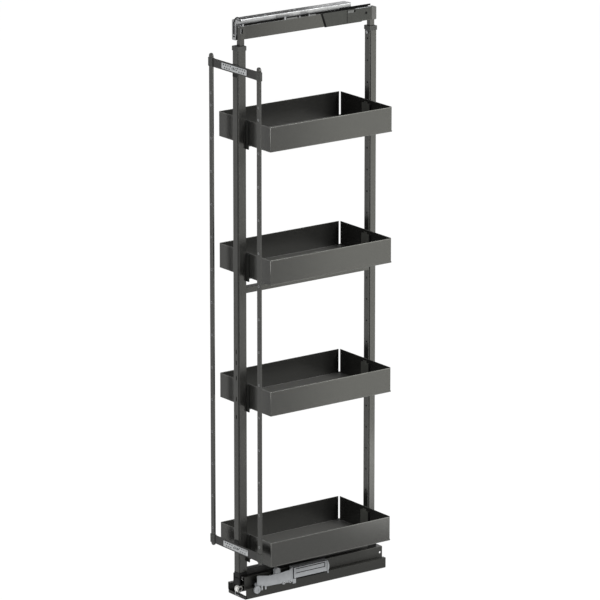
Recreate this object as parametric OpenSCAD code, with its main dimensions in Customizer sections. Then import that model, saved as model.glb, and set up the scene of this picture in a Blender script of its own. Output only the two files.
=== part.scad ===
// Pull-out pantry frame: two posts with four hanging baskets on a floor runner,
// a top rail of adjustable height with a telescopic slide, and a door carrier in front.
// Millimetres. +X is the width, the frame pulls out along -Y, and +Z is up.
// The origin is the centre of the base channel's underside.

/* [Base channel] */
// Length of the base channel
base_len = 500; // [460:1:560]
// Width of the base channel
base_w = 90; // [88:1:110]
// Height of its side walls
base_h = 32; // [30:0.5:36]
// Thickness of its sheet
base_t = 2; // [1.5:0.1:2.5]
// Width of the lips turned in along the top of the walls
base_lip = 12; // [10:0.5:13]
// Outer radius of the folded bottom edges
base_fold_r = 5; // [3:0.5:7]
// Radius of the walls' lower front corners
base_nose_r = 14; // [8:1:18]
// Distance across between the floor screw holes
floor_screw_dx = 44; // [40:1:48]
// Distance along between the floor screw holes
floor_screw_dy = 300; // [200:1:320]
// Radius of the floor screw holes
floor_screw_r = 2.75; // [2:0.05:3.25]
// Width of the opening in the floor behind the front roller
floor_gap_w = 52; // [30:1:54]
// Length of that opening
floor_gap_len = 50; // [30:1:54]

/* [Runner] */
// Gap between a wheel and the track it rolls on
run_gap = 0.3; // [0.2:0.05:0.5]
// Radial clearance of a wheel on its axle
axle_fit = 0.05; // [0.02:0.01:0.1]
// Diameter of the axles
axle_d = 6; // [5:0.1:6.5]
// Diameter of the front roller
roller_d = 20; // [18:0.5:22]
// Width of the front roller
roller_w = 12; // [10:0.5:14]
// Height of the front roller's axle above the floor sheet
roller_rise = 20; // [19:0.5:22]
// Width of the rear wheels of the middle rail
wheel_w = 8; // [6:0.5:9]
// Width of the middle rail
mid_w = 32; // [30:0.5:36]
// Height of the middle rail
mid_h = 24; // [20:0.5:26]
// Thickness of the middle rail
mid_t = 2; // [1.5:0.1:2.5]
// Width of the lips along the top of the middle rail
mid_lip = 5; // [4:0.5:6]
// Diameter of the wheel on the middle rail that carries the carriage
support_d = 19; // [17:0.5:20]
// Width of the carriage
car_w = 56; // [54:0.5:58]
// Thickness of the carriage sheet
car_t = 2; // [1.5:0.1:2.5]
// Gap between the middle rail and the carriage above it
car_gap = 4.7; // [2.4:0.1:6]
// Length by which the carriage stands out at the rear of the base
car_overhang = 0; // [0:0.5:10]

/* [Posts and rails] */
// Width of both posts
post_w = 25; // [24:0.5:30]
// Depth of the front post
front_post_d = 27.5; // [25:0.5:30]
// Depth of the rear post
rear_post_d = 22.5; // [22:0.5:28]
// Wall of the posts
post_t = 1.2; // [1:0.1:1.4]
// Size of the steps along the posts' corners
post_step = 3; // [2:0.1:3.2]
// Length of both posts
post_len = 1539; // [1500:1:1700]
// Height of the plastic feet under the posts
foot_h = 10; // [8:0.5:24]
// Distance that the feet stand out around the posts
foot_edge = 0.5; // [0.2:0.1:1]
// Length of the rear foot's toe behind the rear post
rear_toe = 7; // [2:0.5:12]
// Distance from a post to a basket
post_gap = 3.5; // [3.2:0.1:9]
// Pitch of the holes along the posts
hole_pitch = 64; // [64:1:66]
// Diameter of those holes
hole_d = 5; // [4:0.1:6]
// Width of the bottom rail and the middle brace
brace_w = 24; // [20:0.5:24]
// Height of the bottom rail
bottom_rail_h = 16; // [11:0.5:20]
// Height of the middle brace
brace_h = 16; // [12:0.5:20]
// Height of the middle brace's underside above the posts' lower ends
brace_rise = 827; // [815:1:835]
// Wall of the bottom rail and the middle brace
brace_t = 1.5; // [1:0.1:2]

/* [Baskets] */
// Length by which a basket is shorter than the base channel
basket_short = 73; // [70:1:90]
// Width of a basket
basket_w = 249; // [200:1:300]
// Height of a basket
basket_h = 72; // [64:1:100]
// Sheet thickness of a basket
basket_t = 1.2; // [0.8:0.1:2]
// Radius of the closed front corners
basket_r = 3; // [2.5:0.1:6]
// Width of the open slits in the rear corners
corner_slit = 4; // [3:0.1:5]
// Distance of the baskets' centre from the base's centre, along Y
frame_shift = -6.5; // [-8:0.5:-5]
// Height of the lowest basket's underside above the carriage
first_rise = 51; // [48:0.5:70]
// Number of hole pitches from the lowest basket to the next
low_step_count = 7; // [6:1:7]
// Number of hole pitches from there to the third basket
mid_step_count = 6; // [5:1:6]
// Number of hole pitches from there to the top basket
high_step_count = 6; // [5:1:6]
// Width of the hangers that carry the baskets
hanger_w = 46; // [40:1:60]
// Sheet thickness of the hangers
hanger_t = 2; // [1.5:0.1:2.5]
// Distance that a hanger reaches below its basket
hanger_drop = 11; // [10:0.5:14]
// Distance that a hanger's ledge reaches under its basket
ledge_len = 14; // [10:0.5:24]
// Gap between a basket and its ledge
seat_gap = 0.2; // [0.1:0.05:0.3]

/* [Door carrier] */
// Width of a door bar
bar_w = 17; // [12:0.5:20]
// Thickness of a door bar
bar_t = 5; // [3:0.1:6]
// Length of a door bar
bar_len = 1451; // [1440:1:1520]
// Distance between the middles of the two bars
bar_spacing = 229; // [200:1:280]
// Height of the bars' lower ends above the posts' lower ends
bar_rise = 52; // [40:0.5:54]
// Pitch of the door screw holes
door_pitch = 96; // [90:1:97]
// Radius of the door screw holes
door_hole_r = 2.25; // [2:0.05:2.75]
// Height of the brackets across the bars
bracket_h = 25; // [20:0.5:30]
// Thickness of the brackets
bracket_t = 2.5; // [2:0.1:3]
// Distance from the bars' ends to the brackets
bracket_inset = 13; // [8:0.5:20]
// Length of the silver adjuster plates
plate_len = 120; // [100:1:150]
// Height of the adjuster plates
plate_h = 17; // [14:0.5:19]
// Thickness of the adjuster plates
plate_t = 1.5; // [1:0.1:2]
// Sideways adjustment of the carrier to each side
side_adjust = 5; // [3:0.5:6]

/* [Top rail] */
// Width of the inner tubes
tube_w = 15; // [14:0.1:16]
// Wall of the inner tubes
tube_t = 1.5; // [1:0.1:2]
// Length of the tubes inside the posts
tube_in = 300; // [200:1:400]
// Gap around an inner tube
tube_fit = 0.2; // [0.15:0.05:0.3]
// Distance from the posts' top to the top rail
rail_gap = 22; // [20:0.5:60]
// Width of the top rail
rail_w = 18; // [17:0.5:20]
// Height of the top rail
rail_h = 38; // [36:0.5:44]
// Wall of the top rail
rail_t = 2; // [1.5:0.1:2.5]
// Sideways offset of the top rail from the posts
rail_offset = 3; // [2.5:0.1:4]
// Thickness of the plastic cover on the rear of the top rail
cover_t = 1.5; // [1:0.1:2]
// Length of the cover
cover_len = 178; // [150:1:190]

/* [Top slide] */
// Length of the top slide
slide_len = 400; // [380:1:430]
// Width of the top slide
slide_w = 20; // [19:0.5:22]
// Height of the top slide
slide_h = 58; // [56:0.5:62]
// Sheet thickness of the slide's members
slide_t = 1.6; // [1.4:0.1:1.8]
// Height of the lips on the outer member
slide_lip = 13; // [10:0.5:14]
// Distance between the screw slots in the outer member
slide_screw_dy = 300; // [200:1:320]
// Radius of the screw slots in the outer member
slide_screw_r = 2.5; // [2:0.05:3]
// End-to-end length of those slots
slide_slot_len = 12; // [8:0.5:16]
// Diameter of the balls
ball_d = 5; // [4:0.1:5.2]
// Gap around the balls
ball_play = 0.3; // [0.2:0.05:0.4]

/* [Soft-close unit] */
// Length of the soft-close housing
damper_len = 123; // [115:1:135]
// Height of the housing
damper_h = 37; // [35:0.5:40]
// Wall of the housing
damper_t = 2; // [1.5:0.1:2.5]
// Travel of the catch
catch_travel = 45; // [30:1:46]
// Outer diameter of the damper cylinder
cylinder_d = 13; // [11:0.1:13]
// Diameter of the piston rod
rod_d = 5; // [4:0.1:5.5]
// Turns of the closing spring
spring_turns = 24; // [12:1:24]
// Wire diameter of the closing spring
spring_wire = 1.4; // [1:0.1:1.6]

/* [Hidden] */
$fn = 48;

// Heights of the runner
wheel_d = base_h - 2 * base_t - 2;
wheel_z = base_t + run_gap + wheel_d / 2;
shoulder_d = axle_d + 4;
roller_z = base_t + roller_rise;
mid_z = roller_z + roller_d / 2 + run_gap;
mid_top = mid_z + mid_h;
car_bottom = wheel_z + shoulder_d / 2 + 1.7;
car_top = mid_top + car_gap + car_t;
web_z = car_top - car_t;
support_z = web_z - run_gap - support_d / 2;
truck_track = mid_h - 2 * mid_t;
truck_d = truck_track - 1.2;
truck_z = mid_z + mid_t + run_gap + truck_d / 2;

// Places along the runner
base_front = -base_len / 2;
base_rear = base_len / 2;
roller_y = base_front + 5;
mid_front = base_front + 10;
mid_short = 25;
wheel_inset = 25;
mid_rear = base_rear - mid_short;
wheel_y = mid_rear - wheel_inset;
support_y = mid_front + 15;
car_front = base_front + 6;
car_rear = base_rear + car_overhang;
truck_y = mid_rear - 15;
wheel_x = base_w / 2 - base_t - 4;
truck_wheel_x0 = 5;
truck_wheel_x1 = mid_w / 2 - mid_t - 2;

// Places of the frame
basket_len = base_len - basket_short;
basket_front = frame_shift - basket_len / 2;
basket_rear = frame_shift + basket_len / 2;
front_post_back = basket_front - post_gap;
front_post_front = front_post_back - front_post_d;
rear_post_front = basket_rear + post_gap;
rear_post_rear = rear_post_front + rear_post_d;
post_z = car_top + foot_h;
post_top = post_z + post_len;
brace_z = post_z + brace_rise;
first_z = car_top + first_rise;
basket_z = [
    first_z,
    first_z + hole_pitch * low_step_count,
    first_z + hole_pitch * (low_step_count + mid_step_count),
    first_z + hole_pitch * (low_step_count + mid_step_count + high_step_count)
];
peg_rise = 3;
hole_z = first_z - hanger_drop + peg_rise;
hole_count = floor((post_top - 30 - hole_z) / hole_pitch);

// Places of the door carrier
bracket_back = front_post_front - 0.2;
bracket_front = bracket_back - bracket_t;
plate_front = bracket_front - plate_t;
bar_x = bar_spacing / 2;
bar_back = front_post_front + 1.8;
bar_front = bar_back - bar_t;
bar_z = post_z + bar_rise;
bar_top = bar_z + bar_len;
lower_bracket_z = bar_z + bracket_inset - 5;
upper_bracket_z = bar_top - bracket_inset - bracket_h;
clip_wall = 2;
clip_fit = 0.1;
clip_inner = bar_x - bar_w / 2 - clip_fit - clip_wall;
carrier_screw_d = 5;
carrier_screw_dx = 13;
bracket_mid = [lower_bracket_z + bracket_h / 2, upper_bracket_z + bracket_h / 2];

// Places of the top rail and slide
front_tube_y = front_post_back - post_t - tube_fit - tube_w / 2;
rear_tube_y = (rear_post_front + rear_post_rear) / 2;
collar_h = 13;
collar_wall = 1.6;
collar_top = 3;
lock_screw_z = post_top - collar_h - 3;
rail_z = post_top + rail_gap;
rail_top = rail_z + rail_h;
rail_left = rail_offset - rail_w / 2;
rail_right = rail_offset + rail_w / 2;
rail_front = front_tube_y + tube_w / 2;
rail_rear = rear_tube_y - 6;
slide_left = rail_left - slide_w;
slide_z = rail_z - 5;
slide_top = slide_z + slide_h;
slide_mid_z = slide_z + slide_h / 2;
slide_front = front_post_front + 9;
slide_rear = slide_front + slide_len;
rail_screw_y = [rail_front + 30, (rail_front + slide_rear) / 2, slide_rear - 30];
ball_space = ball_d + 2 * ball_play;
outer_race = slide_h / 2 - slide_t;
middle_race = outer_race - ball_space;
inner_race = middle_race - slide_t - ball_space;
middle_web_x = slide_left + slide_w / 2 - 1;
outer_ball_x = middle_web_x;
inner_ball_x = middle_web_x + slide_t / 2 + 0.7 + ball_d / 2;
cage_len = 120;
cage_y = slide_front + slide_len / 2;
cage_balls = 6;
foot_screw_x = 9;
foot_screw_y = [car_front + 5.5, rear_tube_y + 7];

// Places of the soft-close unit
wall_x = base_w / 2;
damper_in = wall_x - base_lip - 2;
damper_out = wall_x + 2.5;
damper_front = base_front + 163;
damper_rear = damper_front + damper_len;
damper_z = base_h;
damper_x = (damper_in + damper_t + damper_out) / 2;
track_front = base_front + 37;
track_z = damper_z + 10;
rod_z = track_z + 5;
catch_rear = damper_front - 25;
catch_front = catch_rear - 38;
catch_x0 = damper_in + 3.2;
catch_x1 = wall_x - 0.5;
catch_z = track_z + run_gap;
lug_r = 9;
lug_y = catch_front + 3 + lug_r;
pin_d = 6;
pin_y = catch_front - run_gap - pin_d / 2;
pin_z = catch_z + 7.7;
lock_y = base_front + 36;
lock_z = base_h / 2 + 9;
lock_d = 22;
piston_d = cylinder_d - 3;
spring_r = 4.5;
spring_z = damper_z + damper_h - damper_t - spring_r - spring_wire / 2 - 1;
damper_screw_y = [catch_front + 31, damper_front - 10];
damper_screw_z = damper_z - 4;

// Shapes used by several pieces

module block(low, high) {
    translate(low) cube(high - low);
}

module rod_x(d, x0, x1, y, z) {
    translate([x0, y, z]) rotate([0, 90, 0]) cylinder(d = d, h = x1 - x0);
}

module rod_y(d, y0, y1, x, z) {
    translate([x, y1, z]) rotate([90, 0, 0]) cylinder(d = d, h = y1 - y0);
}

module rod_up(d, z0, z1, x, y) {
    translate([x, y, z0]) cylinder(d = d, h = z1 - z0);
}

// An outline in X and Z, drawn out along Y
module along_y(y0, y1) {
    translate([0, y1, 0]) rotate([90, 0, 0]) linear_extrude(height = y1 - y0) children();
}

// An outline in Y and Z, drawn out along X
module along_x(x0, x1) {
    translate([x0, 0, 0]) rotate([90, 0, 90]) linear_extrude(height = x1 - x0) children();
}

module both_sides() {
    children();
    mirror([1, 0, 0]) children();
}

module rectangle(low, high) {
    translate(low) square(high - low);
}

module round_rectangle(low, high, r) {
    rectangle([low[0] + r, low[1]], [high[0] - r, high[1]]);
    rectangle([low[0], low[1] + r], [high[0], high[1] - r]);
    for (x = [low[0] + r, high[0] - r], y = [low[1] + r, high[1] - r]) {
        translate([x, y]) circle(r = r);
    }
}

// A rectangle with only its two lower corners round
module trough(half, z0, z1, r) {
    round_rectangle([-half, z0], [half, z1], r);
    rectangle([-half, z1 - 2 * r], [half, z1]);
}

// A wheel about X with a bore and a shallow ring sunk into both faces
module wheel(d, x0, x1, bore, y, z) {
    ring_d = (d + bore) / 2 + 1.5;
    sink = 0.8;
    difference() {
        rod_x(d, x0, x1, y, z);
        rod_x(bore, x0 - 1, x1 + 1, y, z);
        for (x = [[x0 - 1, x0 + sink], [x1 - sink, x1 + 1]]) {
            difference() {
                rod_x(d - 4, x[0], x[1], y, z);
                rod_x(ring_d - 2, x[0] - 1, x[1] + 1, y, z);
            }
        }
    }
}

// Base channel and its fixed pieces

module base_profile() {
    difference() {
        trough(base_w / 2, 0, base_h, base_fold_r);
        trough(base_w / 2 - base_t, base_t, base_h - base_t, base_fold_r - base_t);
        rectangle([base_lip - base_w / 2, base_h / 2], [base_w / 2 - base_lip, base_h + 1]);
    }
}

// What is cut away outside the rounded lower front corners of the walls
module nose_cut() {
    y_in = base_front + base_nose_r;
    x_in = base_w / 2 - base_fold_r;
    both_sides() difference() {
        block([x_in, base_front - 1, -1], [base_w / 2 + 1, y_in, base_nose_r]);
        rod_x(2 * base_nose_r, x_in - 1, base_w / 2 + 2, y_in, base_nose_r);
    }
}

module base_channel() {
    gap_y = roller_y + 13 + floor_gap_len / 2;
    color("#4a4b49") difference() {
        along_y(base_front, base_rear) base_profile();
        nose_cut();
        for (x = [-1, 1], y = [-1, 1]) {
            rod_up(2 * floor_screw_r, -1, base_t + 1, x * floor_screw_dx / 2, y * floor_screw_dy / 2);
        }
        translate([0, 0, -1]) linear_extrude(height = base_t + 2) {
            round_rectangle([-floor_gap_w / 2, gap_y - floor_gap_len / 2],
                            [floor_gap_w / 2, gap_y + floor_gap_len / 2], 12);
        }
        rod_x(axle_d, wall_x - base_t - 1, wall_x + 1, lock_y, lock_z);
    }
}

module roller_bracket() {
    ear_x = roller_w / 2 + 1.3;
    ear_t = 2;
    ear_top = roller_z + axle_d / 2 + 3;
    color("#8c8f91") difference() {
        union() {
            block([-ear_x, base_front + 1, base_t], [ear_x, roller_y + 11, base_t + 2]);
            block([-ear_x - ear_t, roller_y - 6, base_t], [-ear_x, roller_y + 11, ear_top]);
        }
        rod_x(axle_d, -ear_x - ear_t - 1, -ear_x + 1, roller_y, roller_z);
    }
}

// Shoulder bolt through the bracket's ear: its head holds the roller
module front_axle() {
    head_x = roller_w / 2 + 0.5;
    nut_x = -roller_w / 2 - 3.3;
    head_t = 1.5;
    color("#b8babb") {
        rod_x(axle_d, nut_x, head_x, roller_y, roller_z);
        rod_x(axle_d + 3, head_x, head_x + head_t, roller_y, roller_z);
        rod_x(axle_d + 3, nut_x - head_t, nut_x, roller_y, roller_z);
    }
}

module front_roller() {
    color("#dcdcda") wheel(roller_d, -roller_w / 2, roller_w / 2, axle_d + 2 * axle_fit, roller_y, roller_z);
}

module rear_buffer() {
    color("#222222") block([-12, mid_rear + 0.4, base_t], [12, mid_rear + 14, mid_top - 6]);
}

// Soft-close unit on the right wall

module damper_bracket() {
    plate = [
        [track_front, track_z + 25], [track_front + 42, track_z + 17], [catch_front + 25, track_z + 18],
        [damper_front - 13, track_z + 20], [damper_front, track_z + 26], [damper_front, damper_z - 8],
        [catch_front + 23, damper_z - 5], [track_front + 36, damper_z - 3.5], [track_front, damper_z + 6]
    ];
    boss_d = 12;
    color("#8f9294") difference() {
        union() {
            along_x(wall_x, damper_out) polygon(plate);
            block([damper_in + 2, track_front, damper_z], [wall_x, damper_front, track_z]);
            for (y = [track_front + 14, track_front + 27]) {
                block([wall_x, y, damper_z - 12], [damper_out, y + 6, damper_z + 6]);
            }
            for (y = damper_screw_y) rod_x(boss_d, wall_x, damper_out, y, damper_screw_z);
        }
        for (y = damper_screw_y) rod_x(4, wall_x - 1, damper_out + 1, y, damper_screw_z);
    }
}

module damper_housing() {
    color("#9a9d9f") {
        difference() {
            block([damper_in, damper_front, damper_z], [damper_out, damper_rear, damper_z + damper_h]);
            block([damper_in + damper_t, damper_front + damper_t, damper_z + damper_t],
                  [damper_out + 1, damper_rear - damper_t, damper_z + damper_h - damper_t]);
            rod_y(rod_d + 2, damper_front - 1, damper_front + damper_t + 1, damper_x, rod_z);
        }
        block([wall_x, damper_front, damper_z - 14], [damper_out, damper_front + 12, damper_z]);
    }
}

module damper_cover() {
    panel_t = 2;
    edge = 3;
    groove = 0.8;
    low = damper_z + edge;
    high = damper_z + damper_h - edge;
    color("#a3a6a8") difference() {
        block([damper_out, damper_front + edge, low], [damper_out + panel_t, damper_rear - edge, high]);
        for (z = [low + 0.43 * (high - low), low + 0.84 * (high - low)]) {
            block([damper_out + panel_t - groove, damper_front + 3 * edge, z],
                  [damper_out + panel_t + 1, damper_rear - 3 * edge, z + 1.6]);
        }
    }
}

module damper_end_cap() {
    depth = 8;
    edge = 4;
    low = damper_z + edge;
    high = damper_z + damper_h - edge;
    outline = [
        [damper_rear, low], [damper_rear + depth - 2, low], [damper_rear + depth, low + 5],
        [damper_rear + depth, high - 14], [damper_rear + depth - 5, high], [damper_rear, high]
    ];
    color("#9a9d9f") {
        along_x(damper_in + damper_t, damper_out) polygon(outline);
        block([wall_x, damper_rear + 1, damper_z - 6], [damper_out, damper_rear + 5, low]);
    }
}

module damper_cylinder() {
    rear_y = damper_rear - damper_t;
    front_y = damper_front + 17;
    cap = 3;
    color("#55585a") difference() {
        rod_y(cylinder_d, front_y, rear_y, damper_x, rod_z);
        rod_y(piston_d + 0.4, front_y + cap, rear_y - cap, damper_x, rod_z);
        rod_y(rod_d + 0.4, front_y - 1, front_y + cap + 1, damper_x, rod_z);
    }
}

// Tension spring as one tube along a helix about Y
module closing_spring() {
    y0 = damper_front + damper_t + 0.3 + spring_wire / 2;
    y1 = damper_rear - damper_t - 0.3 - spring_wire / 2;
    rings = 8 * spring_turns;
    sides = 6;
    pitch = (y1 - y0) / spring_turns;
    slope = atan2(pitch, 2 * PI * spring_r);
    function ring_point(i, j) =
        let (turn = 45 * i, side = 360 * j / sides)
        let (reach = spring_r + spring_wire / 2 * cos(side), lift = spring_wire / 2 * sin(side))
        [
            damper_x + reach * cos(turn) + lift * sin(slope) * sin(turn),
            y0 + pitch * i / 8 + lift * cos(slope),
            spring_z + reach * sin(turn) - lift * sin(slope) * cos(turn)
        ];
    points = [for (i = [0 : rings], j = [0 : sides - 1]) ring_point(i, j)];
    walls = [
        for (i = [0 : rings - 1], j = [0 : sides - 1], half = [0, 1])
            let (a = i * sides + j, b = i * sides + (j + 1) % sides)
            half == 0 ? [a, b, b + sides] : [a, b + sides, a + sides]
    ];
    first_cap = [for (j = [1 : sides - 2]) [0, j + 1, j]];
    last_cap = [for (j = [1 : sides - 2]) [rings * sides, rings * sides + j, rings * sides + j + 1]];
    color("#8d8f90") polyhedron(points, concat(walls, first_cap, last_cap));
}

module locking_screw() {
    head_t = 5;
    color("#a9acae") difference() {
        union() {
            rod_x(lock_d, wall_x, wall_x + head_t, lock_y, lock_z);
            rod_x(axle_d, wall_x - base_t - 2, wall_x, lock_y, lock_z);
        }
        rod_x(lock_d / 2, wall_x + head_t - 1.2, wall_x + head_t + 1, lock_y, lock_z);
    }
}

module damper_screws() {
    color("#b4b6b8") for (y = damper_screw_y) {
        rod_x(4, wall_x, damper_out, y, damper_screw_z);
        rod_x(8, damper_out, damper_out + 2, y, damper_screw_z);
    }
}

module catch() {
    body_top = catch_z + 10;
    color("#9da0a2") difference() {
        union() {
            block([catch_x0, catch_front, catch_z], [catch_x1, catch_rear, body_top]);
            block([catch_x0, catch_front - 15, catch_z], [catch_x1, catch_front, catch_z + 3.7]);
            block([catch_x0, lug_y - lug_r, body_top], [catch_x1, lug_y + lug_r, body_top + 14]);
            rod_x(2 * lug_r, catch_x0, catch_x1, lug_y, body_top + 14);
        }
        rod_y(rod_d, catch_rear - 8, catch_rear + 1, damper_x, rod_z);
    }
}

module piston_rod() {
    piston_rear = damper_rear - damper_t - 3 - 4;
    color("#c4c6c8") {
        rod_y(rod_d, catch_rear - 8, piston_rear, damper_x, rod_z);
        rod_y(piston_d, piston_rear - 6, piston_rear, damper_x, rod_z);
    }
}

// Middle rail and its wheels

module middle_profile() {
    half = mid_w / 2;
    difference() {
        rectangle([-half, mid_z], [half, mid_top]);
        rectangle([mid_t - half, mid_z + mid_t], [half - mid_t, mid_top - mid_t]);
        rectangle([mid_t + mid_lip - half, mid_z + mid_t], [half - mid_t - mid_lip, mid_top + 1]);
    }
}

module middle_rail() {
    half = mid_w / 2;
    color("#6d6f70") difference() {
        union() {
            along_y(mid_front, mid_rear) middle_profile();
            both_sides() {
                block([half - mid_t, wheel_y - 12, wheel_z - 7], [half, wheel_y + 12, mid_z + mid_t]);
            }
        }
        rod_x(axle_d, -half - 1, half + 1, wheel_y, wheel_z);
        rod_x(axle_d, -half - 1, half + 1, support_y, support_z);
    }
}

module stub_axles() {
    half = mid_w / 2;
    color("#b8babb") both_sides() {
        rod_x(axle_d + 3, half - mid_t - 2, half - mid_t, wheel_y, wheel_z);
        rod_x(axle_d, half - mid_t, wheel_x + 1, wheel_y, wheel_z);
        rod_x(shoulder_d, half, wheel_x - wheel_w - run_gap, wheel_y, wheel_z);
        rod_x(shoulder_d - 1, wheel_x + run_gap, wheel_x + 2, wheel_y, wheel_z);
    }
}

module rear_wheels() {
    color("#d9d9d6") both_sides() {
        wheel(wheel_d, wheel_x - wheel_w, wheel_x, axle_d + 2 * axle_fit, wheel_y, wheel_z);
    }
}

module support_axle() {
    half = mid_w / 2;
    color("#b8babb") {
        rod_x(axle_d, -half, half, support_y, support_z);
        both_sides() rod_x(axle_d + 3, half, half + 2, support_y, support_z);
    }
}

module support_wheel() {
    half = mid_w / 2 - mid_t - mid_lip - 2;
    color("#d9d9d6") wheel(support_d, -half, half, axle_d + 2 * axle_fit, support_y, support_z);
}

// Carriage that carries the frame

module carriage() {
    half = car_w / 2;
    color("#454745") difference() {
        block([-half, car_front, car_bottom], [half, car_rear, car_top]);
        block([car_t - half, car_front - 1, car_bottom - 1], [half - car_t, car_rear + 1, web_z]);
        rod_x(6, -half - 1, half + 1, car_rear - 8, car_bottom + 23);
        block([-half - 1, car_rear - 14, car_bottom - 1], [half + 1, car_rear + 1, car_bottom + 6]);
        rod_x(pin_d, half - car_t - 1, half + 1, pin_y, pin_z);
        for (y = foot_screw_y, x = [-foot_screw_x, foot_screw_x]) rod_up(5, web_z - 1, car_top + 1, x, y);
    }
}

module truck_bracket() {
    color("#55585a") difference() {
        block([-4, truck_y - 10, mid_z + mid_t + 1.7], [4, truck_y + 10, web_z]);
        rod_x(5, -5, 5, truck_y, truck_z);
    }
}

module truck_axle() {
    color("#b8babb") rod_x(5, -truck_wheel_x1 - 0.6, truck_wheel_x1 + 0.6, truck_y, truck_z);
}

module truck_wheels() {
    color("#d9d9d6") both_sides() {
        wheel(truck_d, truck_wheel_x0, truck_wheel_x1, 5 + 2 * axle_fit, truck_y, truck_z);
    }
}

module activator_pin() {
    half = car_w / 2;
    color("#b8babb") {
        rod_x(pin_d, half - car_t, catch_x1 - 2, pin_y, pin_z);
        rod_x(pin_d + 4, half, half + 2, pin_y, pin_z);
    }
}

// Frame

module foot(y0, y1, toe) {
    half = post_w / 2 + foot_edge;
    plug = 8;
    block([-half, y0 - foot_edge, car_top], [half, y1 + toe, post_z]);
    block([-plug, y0 + post_t + post_step, post_z], [plug, y1 - post_t - post_step, post_z + 18]);
}

module front_foot() {
    apron_top = car_top + 1;
    apron_z = roller_z + roller_d / 2 + 2;
    color("#1c1c1c") difference() {
        union() {
            foot(front_post_front, front_post_back, foot_edge);
            block([-post_w / 2 - foot_edge, front_post_front - foot_edge, apron_z],
                  [post_w / 2 + foot_edge, car_front - 1.5, apron_top]);
        }
        block([-post_w, front_post_front - 1, car_top - 8], [post_w, front_post_front + 0.6, car_top - 6]);
        for (x = [-foot_screw_x, foot_screw_x]) rod_up(5, car_top - 1, car_top + 10, x, foot_screw_y[0]);
    }
}

module rear_foot() {
    color("#1c1c1c") difference() {
        foot(rear_post_front, rear_post_rear, rear_toe);
        for (x = [-foot_screw_x, foot_screw_x]) rod_up(5, car_top - 1, car_top + 10, x, foot_screw_y[1]);
    }
}

module foot_screws() {
    color("#9c9ea0") for (y = foot_screw_y, x = [-foot_screw_x, foot_screw_x]) {
        rod_up(5, web_z, car_top + 10, x, y);
        rod_up(9, web_z - 2, web_z, x, y);
    }
}

// Hollow post outline with a step along the right front and left rear corners, drawn in X and Y
module post_outline(y0, y1) {
    half = post_w / 2;
    wall = post_t;
    inner = post_step + wall;
    difference() {
        rectangle([-half, y0], [half, y1]);
        rectangle([half - post_step, y0 - 1], [half + 1, y0 + post_step]);
        rectangle([-half - 1, y1 - post_step], [post_step - half, y1 + 1]);
        difference() {
            rectangle([wall - half, y0 + wall], [half - wall, y1 - wall]);
            rectangle([half - inner, y0 - 1], [half + 1, y0 + inner]);
            rectangle([-half - 1, y1 - inner], [inner - half, y1 + 1]);
        }
    }
}

module post_holes(y0, y1) {
    for (k = [0 : hole_count]) rod_y(hole_d, y0, y1, 0, hole_z + k * hole_pitch);
}

module front_post() {
    slot_w = 3;
    slot_h = 12;
    slot_z = [458, 511, 573, 618, 650];
    inside = front_post_front + post_t + 1;
    color("#565754") difference() {
        translate([0, 0, post_z]) linear_extrude(height = post_len) {
            post_outline(front_post_front, front_post_back);
        }
        post_holes(front_post_back - post_t - 1, front_post_back + 1);
        for (z = slot_z) {
            block([-slot_w / 2, front_post_front - 1, post_z + z],
                  [slot_w / 2, inside, post_z + z + slot_h]);
        }
        for (z = bracket_mid, x = [-0.5, 0.5]) {
            rod_y(carrier_screw_d, front_post_front - 1, inside, x * carrier_screw_dx, z);
        }
        rod_y(5, front_post_back - post_t - 1, front_post_back + 1, 0, lock_screw_z);
    }
}

module rear_post() {
    color("#565754") difference() {
        translate([0, 0, post_z]) linear_extrude(height = post_len) {
            post_outline(rear_post_front, rear_post_rear);
        }
        post_holes(rear_post_front - 1, rear_post_front + post_t + 1);
        rod_y(5, rear_post_front - 1, rear_post_front + post_t + 1, 0, lock_screw_z);
    }
}

// Tube between the posts, or between the feet where its ends are drawn in
module brace(z, h, drawn_in) {
    half = brace_w / 2;
    along_y(front_post_back + drawn_in, rear_post_front - drawn_in) difference() {
        rectangle([-half, z], [half, z + h]);
        rectangle([brace_t - half, z + brace_t], [half - brace_t, z + h - brace_t]);
    }
}

module bottom_rail() {
    color("#232423") brace(car_top, bottom_rail_h, foot_edge);
}

module middle_brace() {
    color("#565754") brace(brace_z, brace_h, 0);
}

// Cap on a post's top that guides the inner tube
module collar(y0, y1, tube_y) {
    half = post_w / 2;
    hole = tube_w / 2 + tube_fit;
    difference() {
        block([-half - collar_wall, y0 - collar_wall, post_top - collar_h + collar_top],
              [half + collar_wall, y1 + collar_wall, post_top + collar_top]);
        block([-half, y0, post_top - collar_h], [half, y1, post_top]);
        block([-hole, tube_y - hole, post_top - 1], [hole, tube_y + hole, post_top + collar_top + 1]);
    }
}

module front_collar() {
    color("#3a3b3a") collar(front_post_front, front_post_back, front_tube_y);
}

module rear_collar() {
    color("#3a3b3a") collar(rear_post_front, rear_post_rear, rear_tube_y);
}

module lock_screws() {
    front_end = front_tube_y + tube_w / 2 + tube_fit / 2;
    rear_end = rear_tube_y - tube_w / 2 - tube_fit / 2;
    color("#c0c2c3") {
        rod_y(5, front_end, front_post_back, 0, lock_screw_z);
        rod_y(8, front_post_back, front_post_back + 2.5, 0, lock_screw_z);
        rod_y(5, rear_post_front, rear_end, 0, lock_screw_z);
        rod_y(8, rear_post_front - 2.5, rear_post_front, 0, lock_screw_z);
    }
}

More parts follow.
